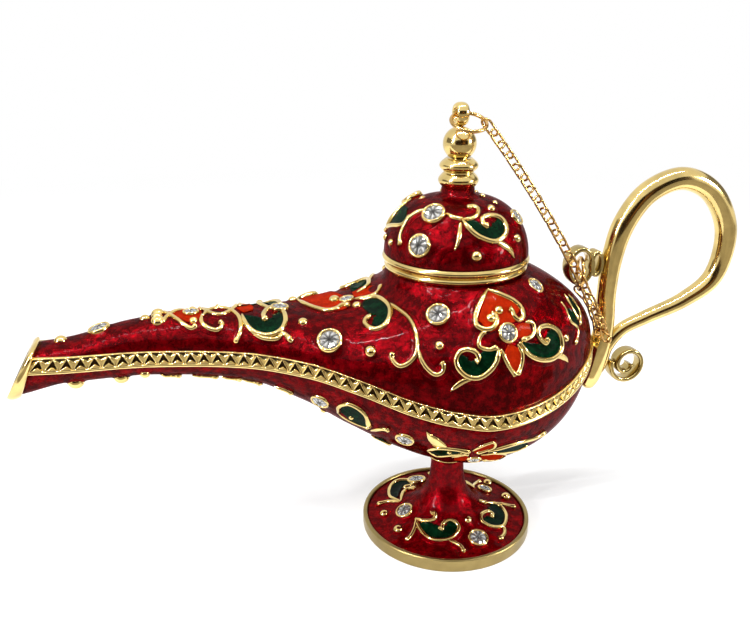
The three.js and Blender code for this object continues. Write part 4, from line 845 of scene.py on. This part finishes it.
class Ornament:
    """Ornament on one surface: gold work, green and orange cells and crystals, each a mesh of its own."""

    def __init__(self, field, cells):
        self.field = field
        self.cells = np.concatenate([spline(spine, 40) * (1, 1, 1.2) for spine in cells])
        self.gold, self.green, self.orange, self.crystal, self.enamel = Skin(), Skin(), Skin(), Skin(), Skin()

    def covered(self, points):
        """Which points lie under a cell as the photograph shows it; the far side counts as the near one."""
        place, right, forward, up = camera_axes()
        ray = points * (1, 0, 1) - np.abs(points) * (0, 1, 0) - place
        pixel = np.stack([ray @ right, -(ray @ up)], -1) * FOCAL_PIXELS / (ray @ forward)[..., None]
        pixel = pixel + (IMAGE_WIDTH / 2, IMAGE_HEIGHT / 2)
        gap = np.linalg.norm(pixel[..., None, :] - self.cells[:, :2], axis=-1) - self.cells[:, 2]
        return gap.min(-1) < 0.5

    def flow(self, points, up, height, looped=False):
        """A closed skin of red enamel over points of the surface; under a cell it stays below them.

        What runs over the edge of the surface gets none."""
        if np.abs(self.field(points)).max() > 0.02:
            return
        lift = np.where(self.covered(points), -0.15, 0.006 + height)[..., None]
        self.enamel.tube(np.concatenate([points + up * lift, (points - up * 0.25)[:, [-1, 0]]], 1), looped)

    def flow_along(self, path, normal, radius):
        """Enamel drawn up along a wire: its height falls with the square of the distance left."""
        reach, height = WIRE_MENISCUS
        path, normal = path[::2], normal[::2]
        share = np.linspace(-1, 1, 11)
        step = np.arange(len(path))
        end = np.clip(np.minimum(step, step[::-1]) / 3, 0.05, 1)[:, None]
        side = np.cross(unit(np.gradient(path, axis=0)), normal)
        wide = (radius + reach) * end * share
        points, up = settle(self.field, path[:, None] + side[:, None] * wide[..., None])
        self.flow(points, up, height * end * (1 - np.abs(share)) ** 2)

    def flow_round(self, point, normal, radius, meniscus):
        """Enamel drawn up to something round, in the same way."""
        reach, height = meniscus
        side, other = self.across(normal)
        angle = np.linspace(0, 2 * np.pi, 40, endpoint=False)[:, None, None]
        share = np.linspace(0, 1, 9)
        wide = (0.92 * radius + reach * share)[None, :, None]
        points, up = settle(self.field, point + wide * (np.cos(angle) * side + np.sin(angle) * other))
        self.flow(points, up, np.broadcast_to(height * radius * (1 - share) ** 2, points.shape[:2]), True)

    def cell(self, skin, spine, full=1.0, dish=0.2):
        """A cell about a curved spine: enamel is dished, its height a parabola; gold is a half ellipse."""
        spine = spline(spine, 26) * (1, 1, full)
        run = unit(np.gradient(spine[:, :2], axis=0))
        across = np.linspace(-1, 1, 11)
        side = np.stack([-run[:, 1], run[:, 0]], -1)
        flat = spine[:, None, :2] + side[:, None] * (spine[:, 2:] * across)[..., None]
        points, normal, _ = cast(self.field, flat.reshape(-1, 2))
        points, normal = points.reshape(26, 11, 3), normal.reshape(26, 11, 3)
        lift = (0.06 + (dish * across ** 2 if dish else 0.26 * np.sqrt(1 - across ** 2)))[None, :, None]
        skin.tube(np.concatenate([points + normal * lift, (points - normal * 0.3)[:, ::-1]], 1))

    def scroll(self, path, radius):
        """A soldered wire, partly sunk in the enamel, that starts thin and ends in a round drop."""
        steps = 12 * len(path)
        points, normal, _ = cast(self.field, spline(path, steps))
        left = np.arange(steps)[::-1]
        thick = np.clip(0.4 + np.arange(steps) / 14, 0, 1) + 0.4 * np.exp(-((left - 4) / 4) ** 2)
        thick = radius * thick * np.sqrt(np.clip(1 - (1 - (left + 0.3) / 5) ** 2, 0.1, 1) * (left < 5) + (left >= 5))
        self.gold.wire(points + normal * radius * 0.4, thick, normal, 10)
        self.flow_along(points, normal, radius)

    def seat(self, x, y, pixels):
        """Place, outward direction and real radius of something round in the photograph."""
        (point,), (normal,), (scale,) = cast(self.field, [(x, y)])
        return point, normal, pixels * scale

    def bead(self, point, normal, radius):
        """A gold grain: nearly half a ball over a point, with a skirt below the surface."""
        self.flow_round(point, normal, radius, BEAD_MENISCUS)
        side, other = self.across(normal)
        radius, height = 1.1 * radius, 0.95 * radius
        angle = np.linspace(0, 2 * np.pi, 20, endpoint=False)[None, :, None]
        lift = np.concatenate([[-0.35], np.linspace(0, np.pi / 2 * 0.97, 9)])
        wide = np.where(lift < 0, 1, np.cos(lift))[:, None, None] * radius
        high = np.where(lift < 0, lift, np.sin(lift) * height)[:, None, None]
        self.gold.tube(point + wide * (np.cos(angle) * side + np.sin(angle) * other) + high * normal)

    def across(self, normal):
        """Two directions across a normal."""
        side = unit(np.cross(normal, (0, 0, 1)) + np.array([1e-6, 0, 0]))
        return side, np.cross(normal, side)

    def stone(self, point, normal, radius):
        """A round crystal in a gold cup: the cup is turned about the normal, the stone has rows of facets."""
        self.flow_round(point, normal, radius, STONE_MENISCUS)
        side, other = self.across(normal)

        def turned(outline, count):
            angle = np.linspace(0, 2 * np.pi, count, endpoint=False)[None, :, None]
            outline = np.asarray(outline)
            wide, high = outline[:, :1, None] * radius, outline[:, 1:, None] * radius
            return point + wide * (np.cos(angle) * side + np.sin(angle) * other) + high * normal

        cup = [(0.6, -0.2), (1, -0.2), (1, 0.1), (0.98, 0.24), (0.92, 0.33), (0.84, 0.34), (0.77, 0.28), (0.74, 0.15),
               (0.6, 0.05)]
        self.gold.tube(turned(cup, 40), True)
        facets = turned([row[:2] for row in STONE_ROWS], 16)
        facets[2:, ::2] -= 0.08 * radius * normal
        self.crystal.tube(facets)

    def draw(self, stones=(), beads=(), green=(), orange=(), tails=(), edges=(), scrolls=(), fine=()):
        """Draws a group of ornament; a cell's edge is a thicker wire than a scroll, fine edges are thinner."""
        for skin, cells, full, dish in (
                (self.green, green, 1.22, 0.2), (self.orange, orange, 1.15, 0.2), (self.gold, tails, 1.1, 0)):
            for spine in cells:
                self.cell(skin, spine, full, dish)
        for paths, radius in ((edges, EDGE_RADIUS), (scrolls, SCROLL_RADIUS), (fine, FINE_RADIUS)):
            for path in paths:
                self.scroll(path, radius)
        for bead in beads:
            self.bead(*self.seat(*bead))
        for stone in stones:
            self.stone(*self.seat(*stone))

    def set_stones(self, nodes):
        """Sets a crystal in its cup where each CAD crystal stands."""
        for name in nodes:
            self.stone(*node_disc(name))

    def repeat(self, signs):
        """Repeats what is drawn so far, mirrored or turned."""
        for skin in (self.gold, self.green, self.orange, self.crystal, self.enamel):
            skin.copy(signs)

    def make(self, name, body, look, replaces=(), red="red"):
        """Makes one object of each kind."""
        self.gold.make(f"{name}_gold_work", look["gold"], "gold_plate", body)
        self.enamel.make(f"{name}_enamel_edges", look[red], "red_enamel", body)
        # Painted reflections: dark and clear corners of every crystal's facets
        tone = np.tile(stone_painted_reflections(), len(self.crystal.points))
        self.crystal.make(f"{name}_crystals", look["crystal"], "crystal", body, replaces, smooth=False, painted_darkness=tone)
        for skin, colour in ((self.green, "green"), (self.orange, "orange")):
            if skin.count:
                skin.make(f"{name}_{colour}_cells", look[colour], "red_enamel", body)


def crystal_nodes(*groups):
    """Names of the CAD crystals in these groups."""
    return sorted(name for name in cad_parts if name.startswith(groups))


def build_bowl_ornament(look):
    """Flowers, leaves, vines, beads and crystals on bowl and spout."""
    green = [COMMA_LEAF, CURLED_LEAF] + FLOWER_LEAVES + BOWL_LEAVES
    orange = [FLOWER_CROWN] + FLOWER_PETALS + BOWL_PETALS
    crest = SPOUT_PETALS + CREST_PETALS
    ornament = Ornament(hull_field, green + orange + crest + [CREST_LEAF])
    ornament.draw(
        stones=BOWL_STONES,
        beads=SHOULDER_BEADS + FLOWER_BEADS + BOWL_BEADS + KEEL_BEADS,
        green=green, orange=orange,
        tails=FLOWER_TAILS + BOWL_TAILS,
        edges=[COMMA_LEAF_EDGE, CURLED_LEAF_EDGE] + FLOWER_SCROLLS[:2] + FLOWER_LEAF_EDGES + CREST_EDGES,
        scrolls=SPOUT_SCROLLS + [COMMA_LEAF_TAIL, VINE, VINE_BRANCH] + FLOWER_SCROLLS[2:] + BOWL_SCROLLS + KEEL_SCROLLS,
        fine=STERN_EDGES + BOWL_EDGES,
    )
    ornament.repeat(FAR_SIDE)
    ornament.draw(beads=CREST_GRAINS, green=[CREST_LEAF], orange=crest)
    stones = crystal_nodes("shoulder_crystal", "crest_crystal")
    ornament.set_stones(stones)
    for x, radius in CREST_BEADS:
        ornament.bead(*crest_seat(x), radius)
    ornament.make("bowl", "lamp", look, stones)


def build_lid_ornament(look):
    """Leaves, wires, beads and crystals on the lid's dome."""
    ornament = Ornament(turned_field(dome_outline(0, 200)), LID_LEAVES)
    ornament.draw(
        beads=LID_BEADS, green=LID_LEAVES, tails=LID_TAILS, edges=LID_SCROLLS[-1:], scrolls=LID_SCROLLS[:-1])
    ornament.repeat(FAR_SIDE)
    stones = crystal_nodes("lid_crystal")
    ornament.set_stones(stones)
    ornament.make("lid", "lid", look, stones)


def build_foot_ornament(look):
    """Leaves, wires, beads and crystals on the foot; the hidden back repeats the front, half a turn on."""
    ornament = Ornament(turned_field(dish_outline(200)), FOOT_FRONT_LEAVES + FOOT_LEAVES)
    ornament.draw(stones=FOOT_FRONT_STONES, green=FOOT_FRONT_LEAVES, scrolls=FOOT_FRONT_SCROLLS)
    ornament.repeat(HALF_TURN)
    ornament.draw(stones=FOOT_STONES, beads=FOOT_BEADS, green=FOOT_LEAVES, scrolls=FOOT_SCROLLS)
    # Painted light: the foot's enamel edges take the same brighter red
    ornament.make("foot", "lamp", look, red="foot_red")


# Materials

def new_material(name):
    """An empty shader with its output, and a helper that adds nodes."""
    material = bpy.data.materials.new(name)
    material.use_nodes = True
    tree = material.node_tree
    tree.nodes.clear()
    output = tree.nodes.new("ShaderNodeOutputMaterial")
    shader = tree.nodes.new("ShaderNodeBsdfPrincipled")
    tree.links.new(shader.outputs["BSDF"], output.inputs["Surface"])
    return material, tree, shader


def set_inputs(node, **values):
    """Sets a node's sockets; an underscore in a name stands for a space."""
    for name, value in values.items():
        node.inputs[name.replace("_", " ")].default_value = value


def mottle(tree, scale, detail, dark, light, low, high):
    """A colour that wanders between two, by noise over the object's own coordinates."""
    place = tree.nodes.new("ShaderNodeTexCoord")
    noise = tree.nodes.new("ShaderNodeTexNoise")
    set_inputs(noise, Scale=scale, Detail=detail)
    ramp = tree.nodes.new("ShaderNodeValToRGB")
    ramp.color_ramp.elements[0].position, ramp.color_ramp.elements[1].position = low, high
    ramp.color_ramp.elements[0].color, ramp.color_ramp.elements[1].color = (*dark, 1), (*light, 1)
    tree.links.new(place.outputs["Object"], noise.inputs["Vector"])
    tree.links.new(noise.outputs["Fac"], ramp.inputs["Fac"])
    return noise, ramp


def add_bump(tree, source, normal, distance, strength=0.5):
    """Relief finer than the mesh, for one of the shader's normals."""
    bump = tree.nodes.new("ShaderNodeBump")
    set_inputs(bump, Distance=distance, Strength=strength)
    tree.links.new(source, bump.inputs["Height"])
    tree.links.new(bump.outputs["Normal"], normal)


def darkened(tree, tone, dark):
    """A colour turned towards a dark one by the mesh's painted_dark attribute: painted shade and painted reflection."""
    painted_dark = tree.nodes.new("ShaderNodeAttribute")
    painted_dark.attribute_name = "painted_dark"
    mix = tree.nodes.new("ShaderNodeMixRGB")
    set_inputs(mix, Color2=(*dark, 1))
    tree.links.new(painted_dark.outputs["Fac"], mix.inputs["Fac"])
    tree.links.new(tone, mix.inputs["Color1"])
    return mix.outputs["Color"]


def metal(name, colour, shade, roughness, grain, pit_shade_and_patina=None):
    """Plated metal with a slight cloud of a deeper tone, fine unevenness and, if asked, painted shade in its pits,
    partly patina.
    """
    material, tree, shader = new_material(name)
    noise, ramp = mottle(tree, grain, 3, shade, colour, 0.3, 0.62)
    tone = darkened(tree, ramp.outputs["Color"], pit_shade_and_patina) if pit_shade_and_patina else ramp.outputs["Color"]
    tree.links.new(tone, shader.inputs["Base Color"])
    set_inputs(shader, Metallic=1.0, Roughness=roughness)
    add_bump(tree, noise.outputs["Fac"], shader.inputs["Normal"], 0.00006, 0.35)
    return material


def enamel(name, dark, light, metallic, coat):
    """Translucent enamel: rough foil with clouds of brighter colour under a smooth, slightly wavy coat."""
    material, tree, shader = new_material(name)
    noise, ramp = mottle(tree, 650, 6, dark, light, 0.44, 0.7)
    set_inputs(noise, Roughness=0.72)
    tree.links.new(ramp.outputs["Color"], shader.inputs["Base Color"])
    edge = tuple(0.3 * c / max(light) for c in light)
    set_inputs(shader, Metallic=metallic, Roughness=0.24, Specular_IOR_Level=0.0, Specular_Tint=(*edge, 1))
    set_inputs(shader, Coat_Weight=coat, Coat_Roughness=0.03, Coat_IOR=1.45)
    add_bump(tree, noise.outputs["Fac"], shader.inputs["Normal"], 0.0004)
    waves, _ = mottle(tree, 190, 2, dark, light, 0.4, 0.6)
    add_bump(tree, waves.outputs["Fac"], shader.inputs["Coat Normal"], 0.0007)
    return material


def crystal(name, tint):
    """Foil-backed crystal: facets that mirror the room, with painted reflections that darken them from clear to dark by
    their corners.
    """
    material, tree, shader = new_material(name)
    _, ramp = mottle(tree, 900, 2, tuple(0.7 * c for c in tint), tint, 0.35, 0.6)
    # Painted reflection: the dark tone that the facets' corners turn to
    tone = darkened(tree, ramp.outputs["Color"], (0.03, 0.028, 0.025))
    tree.links.new(tone, shader.inputs["Base Color"])
    set_inputs(shader, Metallic=0.75, Roughness=0.06)
    return material


def make_looks():
    """Every material of the lamp, by the name its pieces use."""
    tone = bpy.context.scene.lamp_colours
    deep = tuple(0.72 * c for c in tone.gold)
    return {
        "gold": metal("polished_gold", tuple(tone.gold), deep, 0.14, 260),
        # Painted light and shade: the band's gold is a brighter copy of the plate's colour, its pits darken to painted
        # shade, partly patina
        "band": metal("banded_gold", tuple(min(1.2 * c, 1) for c in tone.gold), tuple(tone.gold), 0.16, 260, tuple(tone.pit_shade_and_patina)),
        # Painted shade: a satin finish in a much darker copy of the gold's colour, for the foot's rim
        "satin_shaded": metal("satin_shaded_gold", tuple(0.39 * c for c in tone.gold), tuple(0.33 * c for c in tone.gold), 0.34, 420),
        # Painted shade: a darker copy of the gold, for the handle's root scroll and rolled eye
        "shaded": metal("shaded_gold", tuple(0.62 * c for c in tone.gold), tuple(0.45 * c for c in tone.gold), 0.16, 260),
        "chain": metal("chain_gold", tuple(tone.chain), tuple(0.7 * c for c in tone.chain), 0.18, 500),
        "red": enamel("red_enamel", tuple(0.22 * c for c in tone.red), tuple(tone.red), 0.7, 0.11),
        # Painted light: a brighter copy of the red enamel for the foot, which sits in shade
        "foot_red": enamel("painted_light_red_enamel", tuple(0.38 * c for c in tone.red), tuple(1.4 * c for c in tone.red), 0.7, 0.1),
        "green": enamel("green_enamel", tuple(0.3 * c for c in tone.green), tuple(tone.green), 0.3, 0.14),
        "orange": enamel("orange_enamel", tuple(0.6 * c for c in tone.orange), tuple(tone.orange), 0, 0.03),
        "crystal": crystal("foiled_crystal", tuple(tone.crystal)),
    }


LOOKS = {}


def look_book():
    """The materials, made once."""
    if not LOOKS:
        LOOKS.update(make_looks())
    return LOOKS


# Stage

WORLD_LEVEL, FLOOR_GLOW = 0.28, 0.5
# name, place from the lamp's middle in mm, width and height in mm, power in watts, seen in reflections
SOFTBOXES = [
    ("key", (-240, -300, 420), 200, 200, 1.4, False), ("fill", (380, -200, 130), 90, 90, 1.4, True),
    ("top_strip", (0, -70, 480), 600, 5, 2.4, True), ("left_strip", (-400, -150, 260), 9, 350, 2.8, True),
]
BLACK, BROWN, ASH, GREY = (0.008, 0.005, 0.003), (0.24, 0.1, 0.02), (0.2, 0.19, 0.18), (0.28, 0.27, 0.25)
SAND, STRAW = (0.42, 0.39, 0.34), (0.6, 0.56, 0.5)
# name, place and aim from the lamp's middle in mm, width and height in mm, the two tones it wanders between
CARDS = [
    ("front_card", (-60, -700, 180), (0, 0, 0), 1500, 480, BLACK, BROWN),
    ("left_card", (-900, 60, 260), (0, 0, 0), 1100, 420, ASH, GREY),
    ("right_card", (900, 60, 260), (0, 0, 0), 1100, 420, ASH, GREY),
    ("table_card", (-60, -480, -38), (-60, -480, -60), 1300, 870, SAND, STRAW),
]


def camera_axes():
    """The camera's place, right, forward and up in the lamp's frame."""
    c, s = np.cos(CAMERA_PITCH), np.sin(CAMERA_PITCH)
    right, forward, up = np.array([1, 0, 0]), np.array([0, c, -s]), np.array([0, s, c])
    c, s = np.cos(CAMERA_ROLL), np.sin(CAMERA_ROLL)
    right, up = right * c + up * s, up * c - right * s
    c, s = np.cos(LAMP_TURN), np.sin(LAMP_TURN)
    turn = np.array([[c, s, 0], [-s, c, 0], [0, 0, 1]])
    place = turn @ (-CAMERA_OFFSET, -CAMERA_DISTANCE, CAMERA_HEIGHT)
    return place, turn @ right, turn @ forward, turn @ up


def matrix_of(place, right, up, back):
    """A placing matrix in metres from three axes."""
    whole = np.eye(4)
    whole[:3, 0], whole[:3, 1], whole[:3, 2], whole[:3, 3] = right, up, back, place * MM
    return Matrix(whole.tolist())


def facing(place, target):
    """A matrix at a place whose back turns away from the target."""
    back = unit(place - target)
    right = unit(np.cross((0, 0.01, 1), back))
    return matrix_of(place, right, np.cross(back, right), back)


def add_camera():
    """Camera at the photograph's viewing angle."""
    place, right, forward, up = camera_axes()
    data = bpy.data.cameras.new("camera")
    data.sensor_fit, data.sensor_width = "HORIZONTAL", 36
    data.lens = FOCAL_PIXELS / IMAGE_WIDTH * data.sensor_width
    data.clip_start = 0.005
    camera = bpy.data.objects.new("camera", data)
    camera.matrix_world = matrix_of(place, right, up, -forward)
    bpy.context.scene.collection.objects.link(camera)
    bpy.context.scene.camera = camera


def add_softbox(name, place, target, width, height, power, mirrored):
    """A soft light, seen or not in reflections."""
    data = bpy.data.lights.new(name, "AREA")
    data.shape, data.size, data.size_y, data.energy = "RECTANGLE", width * MM, height * MM, power
    light = bpy.data.objects.new(name, data)
    light.matrix_world = facing(np.array(place, float), np.array(target, float))
    light.visible_glossy = mirrored
    bpy.context.scene.collection.objects.link(light)


def add_sheet(name, place, target, width, height, material):
    """A flat sheet of the stage that faces a target."""
    matrix = facing(np.array(place, float), np.array(target, float))
    corners = np.array([(-1, -1, 0), (1, -1, 0), (1, 1, 0), (-1, 1, 0)]) * (width / 2, height / 2, 1) * MM
    mesh = bpy.data.meshes.new(name)
    mesh.from_pydata([tuple(matrix @ Vector(c)) for c in corners], [], [(0, 1, 2, 3)])
    mesh.materials.append(material)
    sheet = bpy.data.objects.new(name, mesh)
    bpy.context.scene.collection.objects.link(sheet)
    return sheet


def background_share(tree):
    """One for rays that see the background: camera, glossy and transmission rays."""
    rays = tree.nodes.new("ShaderNodeLightPath")
    first = tree.nodes.new("ShaderNodeMath")
    second = tree.nodes.new("ShaderNodeMath")
    first.operation = second.operation = "MAXIMUM"
    tree.links.new(rays.outputs["Is Camera Ray"], first.inputs[0])
    tree.links.new(rays.outputs["Is Glossy Ray"], first.inputs[1])
    tree.links.new(first.outputs[0], second.inputs[0])
    tree.links.new(rays.outputs["Is Transmission Ray"], second.inputs[1])
    return second.outputs[0]


def add_world(level):
    """White to the eye and in reflections, softer as a light."""
    world = bpy.data.worlds.new("studio")
    world.use_nodes = True
    tree = world.node_tree
    tree.nodes.clear()
    output = tree.nodes.new("ShaderNodeOutputWorld")
    seen, light = tree.nodes.new("ShaderNodeBackground"), tree.nodes.new("ShaderNodeBackground")
    set_inputs(seen, Color=(1, 1, 1, 1), Strength=1.0)
    set_inputs(light, Color=(1, 1, 1, 1), Strength=level)
    mix = tree.nodes.new("ShaderNodeMixShader")
    tree.links.new(background_share(tree), mix.inputs[0])
    tree.links.new(light.outputs[0], mix.inputs[1])
    tree.links.new(seen.outputs[0], mix.inputs[2])
    tree.links.new(mix.outputs[0], output.inputs["Surface"])
    bpy.context.scene.world = world


def floor_material():
    """White paper that keeps the shadow near the lamp and is plain white further off."""
    material, tree, shader = new_material("white_paper")
    _, ramp = mottle(tree, 3, 2, (0.5, 0.5, 0.505), (0.54, 0.54, 0.54), 0.4, 0.6)
    tree.links.new(ramp.outputs["Color"], shader.inputs["Base Color"])
    set_inputs(shader, Roughness=0.9, Emission_Color=(1, 1, 1, 1), Emission_Strength=FLOOR_GLOW)
    place = tree.nodes.new("ShaderNodeTexCoord")
    length = tree.nodes.new("ShaderNodeVectorMath")
    length.operation = "LENGTH"
    span = tree.nodes.new("ShaderNodeMapRange")
    set_inputs(span, From_Min=0.12, From_Max=0.45)
    far = tree.nodes.new("ShaderNodeEmission")
    set_inputs(far, Color=(1, 1, 1, 1), Strength=1.0)
    mix = tree.nodes.new("ShaderNodeMixShader")
    tree.links.new(place.outputs["Object"], length.inputs[0])
    tree.links.new(length.outputs["Value"], span.inputs["Value"])
    tree.links.new(span.outputs["Result"], mix.inputs[0])
    tree.links.new(shader.outputs["BSDF"], mix.inputs[1])
    tree.links.new(far.outputs["Emission"], mix.inputs[2])
    tree.links.new(mix.outputs[0], tree.nodes["Material Output"].inputs["Surface"])
    return material


def card_material(name, dark, light):
    """Dull card in clouds of two tones, seen only as a reflection."""
    material, tree, shader = new_material(name)
    _, ramp = mottle(tree, 4, 2, dark, light, 0.48, 0.75)
    tree.links.new(ramp.outputs["Color"], shader.inputs["Emission Color"])
    set_inputs(shader, Base_Color=(0, 0, 0, 1), Roughness=1.0, Specular_IOR_Level=0.0, Emission_Strength=1.0)
    return material


def build_stage():
    """Pale floor, soft lights, dark cards for gold and enamel to mirror, and the camera."""
    low, high = (np.array(v) / MM for v in CAD_BOX)
    middle = (low + high) / 2
    add_sheet("floor", (0, 0, 0), (0, 0, 10), 6000, 6000, floor_material())
    add_world(WORLD_LEVEL)
    for name, place, width, height, power, mirrored in SOFTBOXES:
        add_softbox(name, middle + place, middle, width, height, power, mirrored)
    for name, place, aim, width, height, dark, light in CARDS:
        sheet = add_sheet(name, middle + place, middle + aim, width, height, card_material(name, dark, light))
        sheet.visible_camera = sheet.visible_diffuse = sheet.visible_shadow = False
    add_camera()
    bpy.context.scene.view_settings.view_transform = "Standard"


# Add-on

class LampSizes(bpy.types.PropertyGroup):
    """Sizes of the wires that stand in for CAD wires."""
    ring_wire: bpy.props.FloatProperty(
        name="Ring wire", description="Thickness of the jump rings' wire", default=0.0007, unit="LENGTH")
    link_wire: bpy.props.FloatProperty(
        name="Link wire", description="Thickness of the chain links' wire", default=0.00045, unit="LENGTH")


class LampColours(bpy.types.PropertyGroup):
    """Colours of enamel, metal and stone."""
    red: bpy.props.FloatVectorProperty(
        name="Red enamel", description="Brightest red of the foil under the enamel", subtype="COLOR",
        default=(0.235, 0.001, 0.004))
    green: bpy.props.FloatVectorProperty(
        name="Green enamel", description="Deep green of the leaves", subtype="COLOR", default=(0.0015, 0.024, 0.008))
    orange: bpy.props.FloatVectorProperty(
        name="Orange enamel", description="Orange of the petals", subtype="COLOR", default=(0.36, 0.016, 0.002))
    gold: bpy.props.FloatVectorProperty(
        name="Gold plate", description="Pale polished gold", subtype="COLOR", default=(0.84, 0.63, 0.24))
    chain: bpy.props.FloatVectorProperty(
        name="Chain gold", description="Deeper gold of rings and chain", subtype="COLOR", default=(0.72, 0.45, 0.15))
    # Painted shade, partly patina: the brown that the band's sunk cells are darkened to
    pit_shade_and_patina: bpy.props.FloatVectorProperty(
        name="Patina", description="Brown in the sunk cells of the band", subtype="COLOR", default=(0.05, 0.026, 0.008))
    crystal: bpy.props.FloatVectorProperty(
        name="Crystal", description="Tint of the clear stones", subtype="COLOR", default=(0.72, 0.71, 0.69))


class LAMP_OT_shells(bpy.types.Operator):
    """Red half shells of bowl and spout"""
    bl_idname, bl_label = "lamp.shells", "Shells"

    def execute(self, context):
        build_shells(look_book())
        return {"FINISHED"}


class LAMP_OT_band(bpy.types.Operator):
    """Zig-zag band on the seam and lip round the mouth"""
    bl_idname, bl_label = "lamp.band", "Band and lip"

    def execute(self, context):
        build_band(look_book())
        build_lip(look_book())
        return {"FINISHED"}


class LAMP_OT_foot(bpy.types.Operator):
    """Foot with its rim and ring"""
    bl_idname, bl_label = "lamp.foot", "Foot"

    def execute(self, context):
        build_foot(look_book())
        return {"FINISHED"}


class LAMP_OT_lid(bpy.types.Operator):
    """Collar, lid and finial"""
    bl_idname, bl_label = "lamp.lid", "Lid"

    def execute(self, context):
        build_lid(look_book())
        return {"FINISHED"}


class LAMP_OT_handle(bpy.types.Operator):
    """Handle bar, volute and eye"""
    bl_idname, bl_label = "lamp.handle", "Handle"

    def execute(self, context):
        build_handle(look_book())
        return {"FINISHED"}


class LAMP_OT_chain(bpy.types.Operator):
    """Jump rings and chain"""
    bl_idname, bl_label = "lamp.chain", "Chain"

    def execute(self, context):
        build_chain(look_book())
        return {"FINISHED"}


class LAMP_OT_ornament(bpy.types.Operator):
    """Enamel cells, gold work and crystals"""
    bl_idname, bl_label = "lamp.ornament", "Ornament"

    def execute(self, context):
        build_bowl_ornament(look_book())
        build_lid_ornament(look_book())
        build_foot_ornament(look_book())
        return {"FINISHED"}


class LAMP_OT_stage(bpy.types.Operator):
    """Floor, light and camera"""
    bl_idname, bl_label = "lamp.stage", "Stage"

    def execute(self, context):
        build_stage()
        return {"FINISHED"}


OPERATORS = (LAMP_OT_shells, LAMP_OT_band, LAMP_OT_foot, LAMP_OT_lid, LAMP_OT_handle, LAMP_OT_chain,
             LAMP_OT_ornament, LAMP_OT_stage)


class LAMP_PT_panel(bpy.types.Panel):
    """Sidebar panel with the lamp's sizes, colours and steps"""
    bl_idname, bl_label = "LAMP_PT_panel", "Genie lamp"
    bl_space_type, bl_region_type, bl_category = "VIEW_3D", "UI", "Lamp"

    def draw(self, context):
        for group in (context.scene.lamp_sizes, context.scene.lamp_colours):
            for name in group.__annotations__:
                self.layout.prop(group, name)
        for operator in OPERATORS:
            self.layout.operator(operator.bl_idname)


CLASSES = (LampSizes, LampColours, *OPERATORS, LAMP_PT_panel)


def register():
    """Adds the classes and the scene's settings."""
    for cls in CLASSES:
        bpy.utils.register_class(cls)
    bpy.types.Scene.lamp_sizes = bpy.props.PointerProperty(type=LampSizes)
    bpy.types.Scene.lamp_colours = bpy.props.PointerProperty(type=LampColours)


def unregister():
    """Takes them away again."""
    del bpy.types.Scene.lamp_sizes
    del bpy.types.Scene.lamp_colours
    for cls in reversed(CLASSES):
        bpy.utils.unregister_class(cls)


def main():
    """Builds every piece."""
    register()
    bpy.ops.lamp.shells()
    bpy.ops.lamp.band()
    bpy.ops.lamp.foot()
    bpy.ops.lamp.lid()
    bpy.ops.lamp.handle()
    bpy.ops.lamp.chain()
    bpy.ops.lamp.ornament()
    bpy.ops.lamp.stage()


if __name__ == "__main__":
    main()
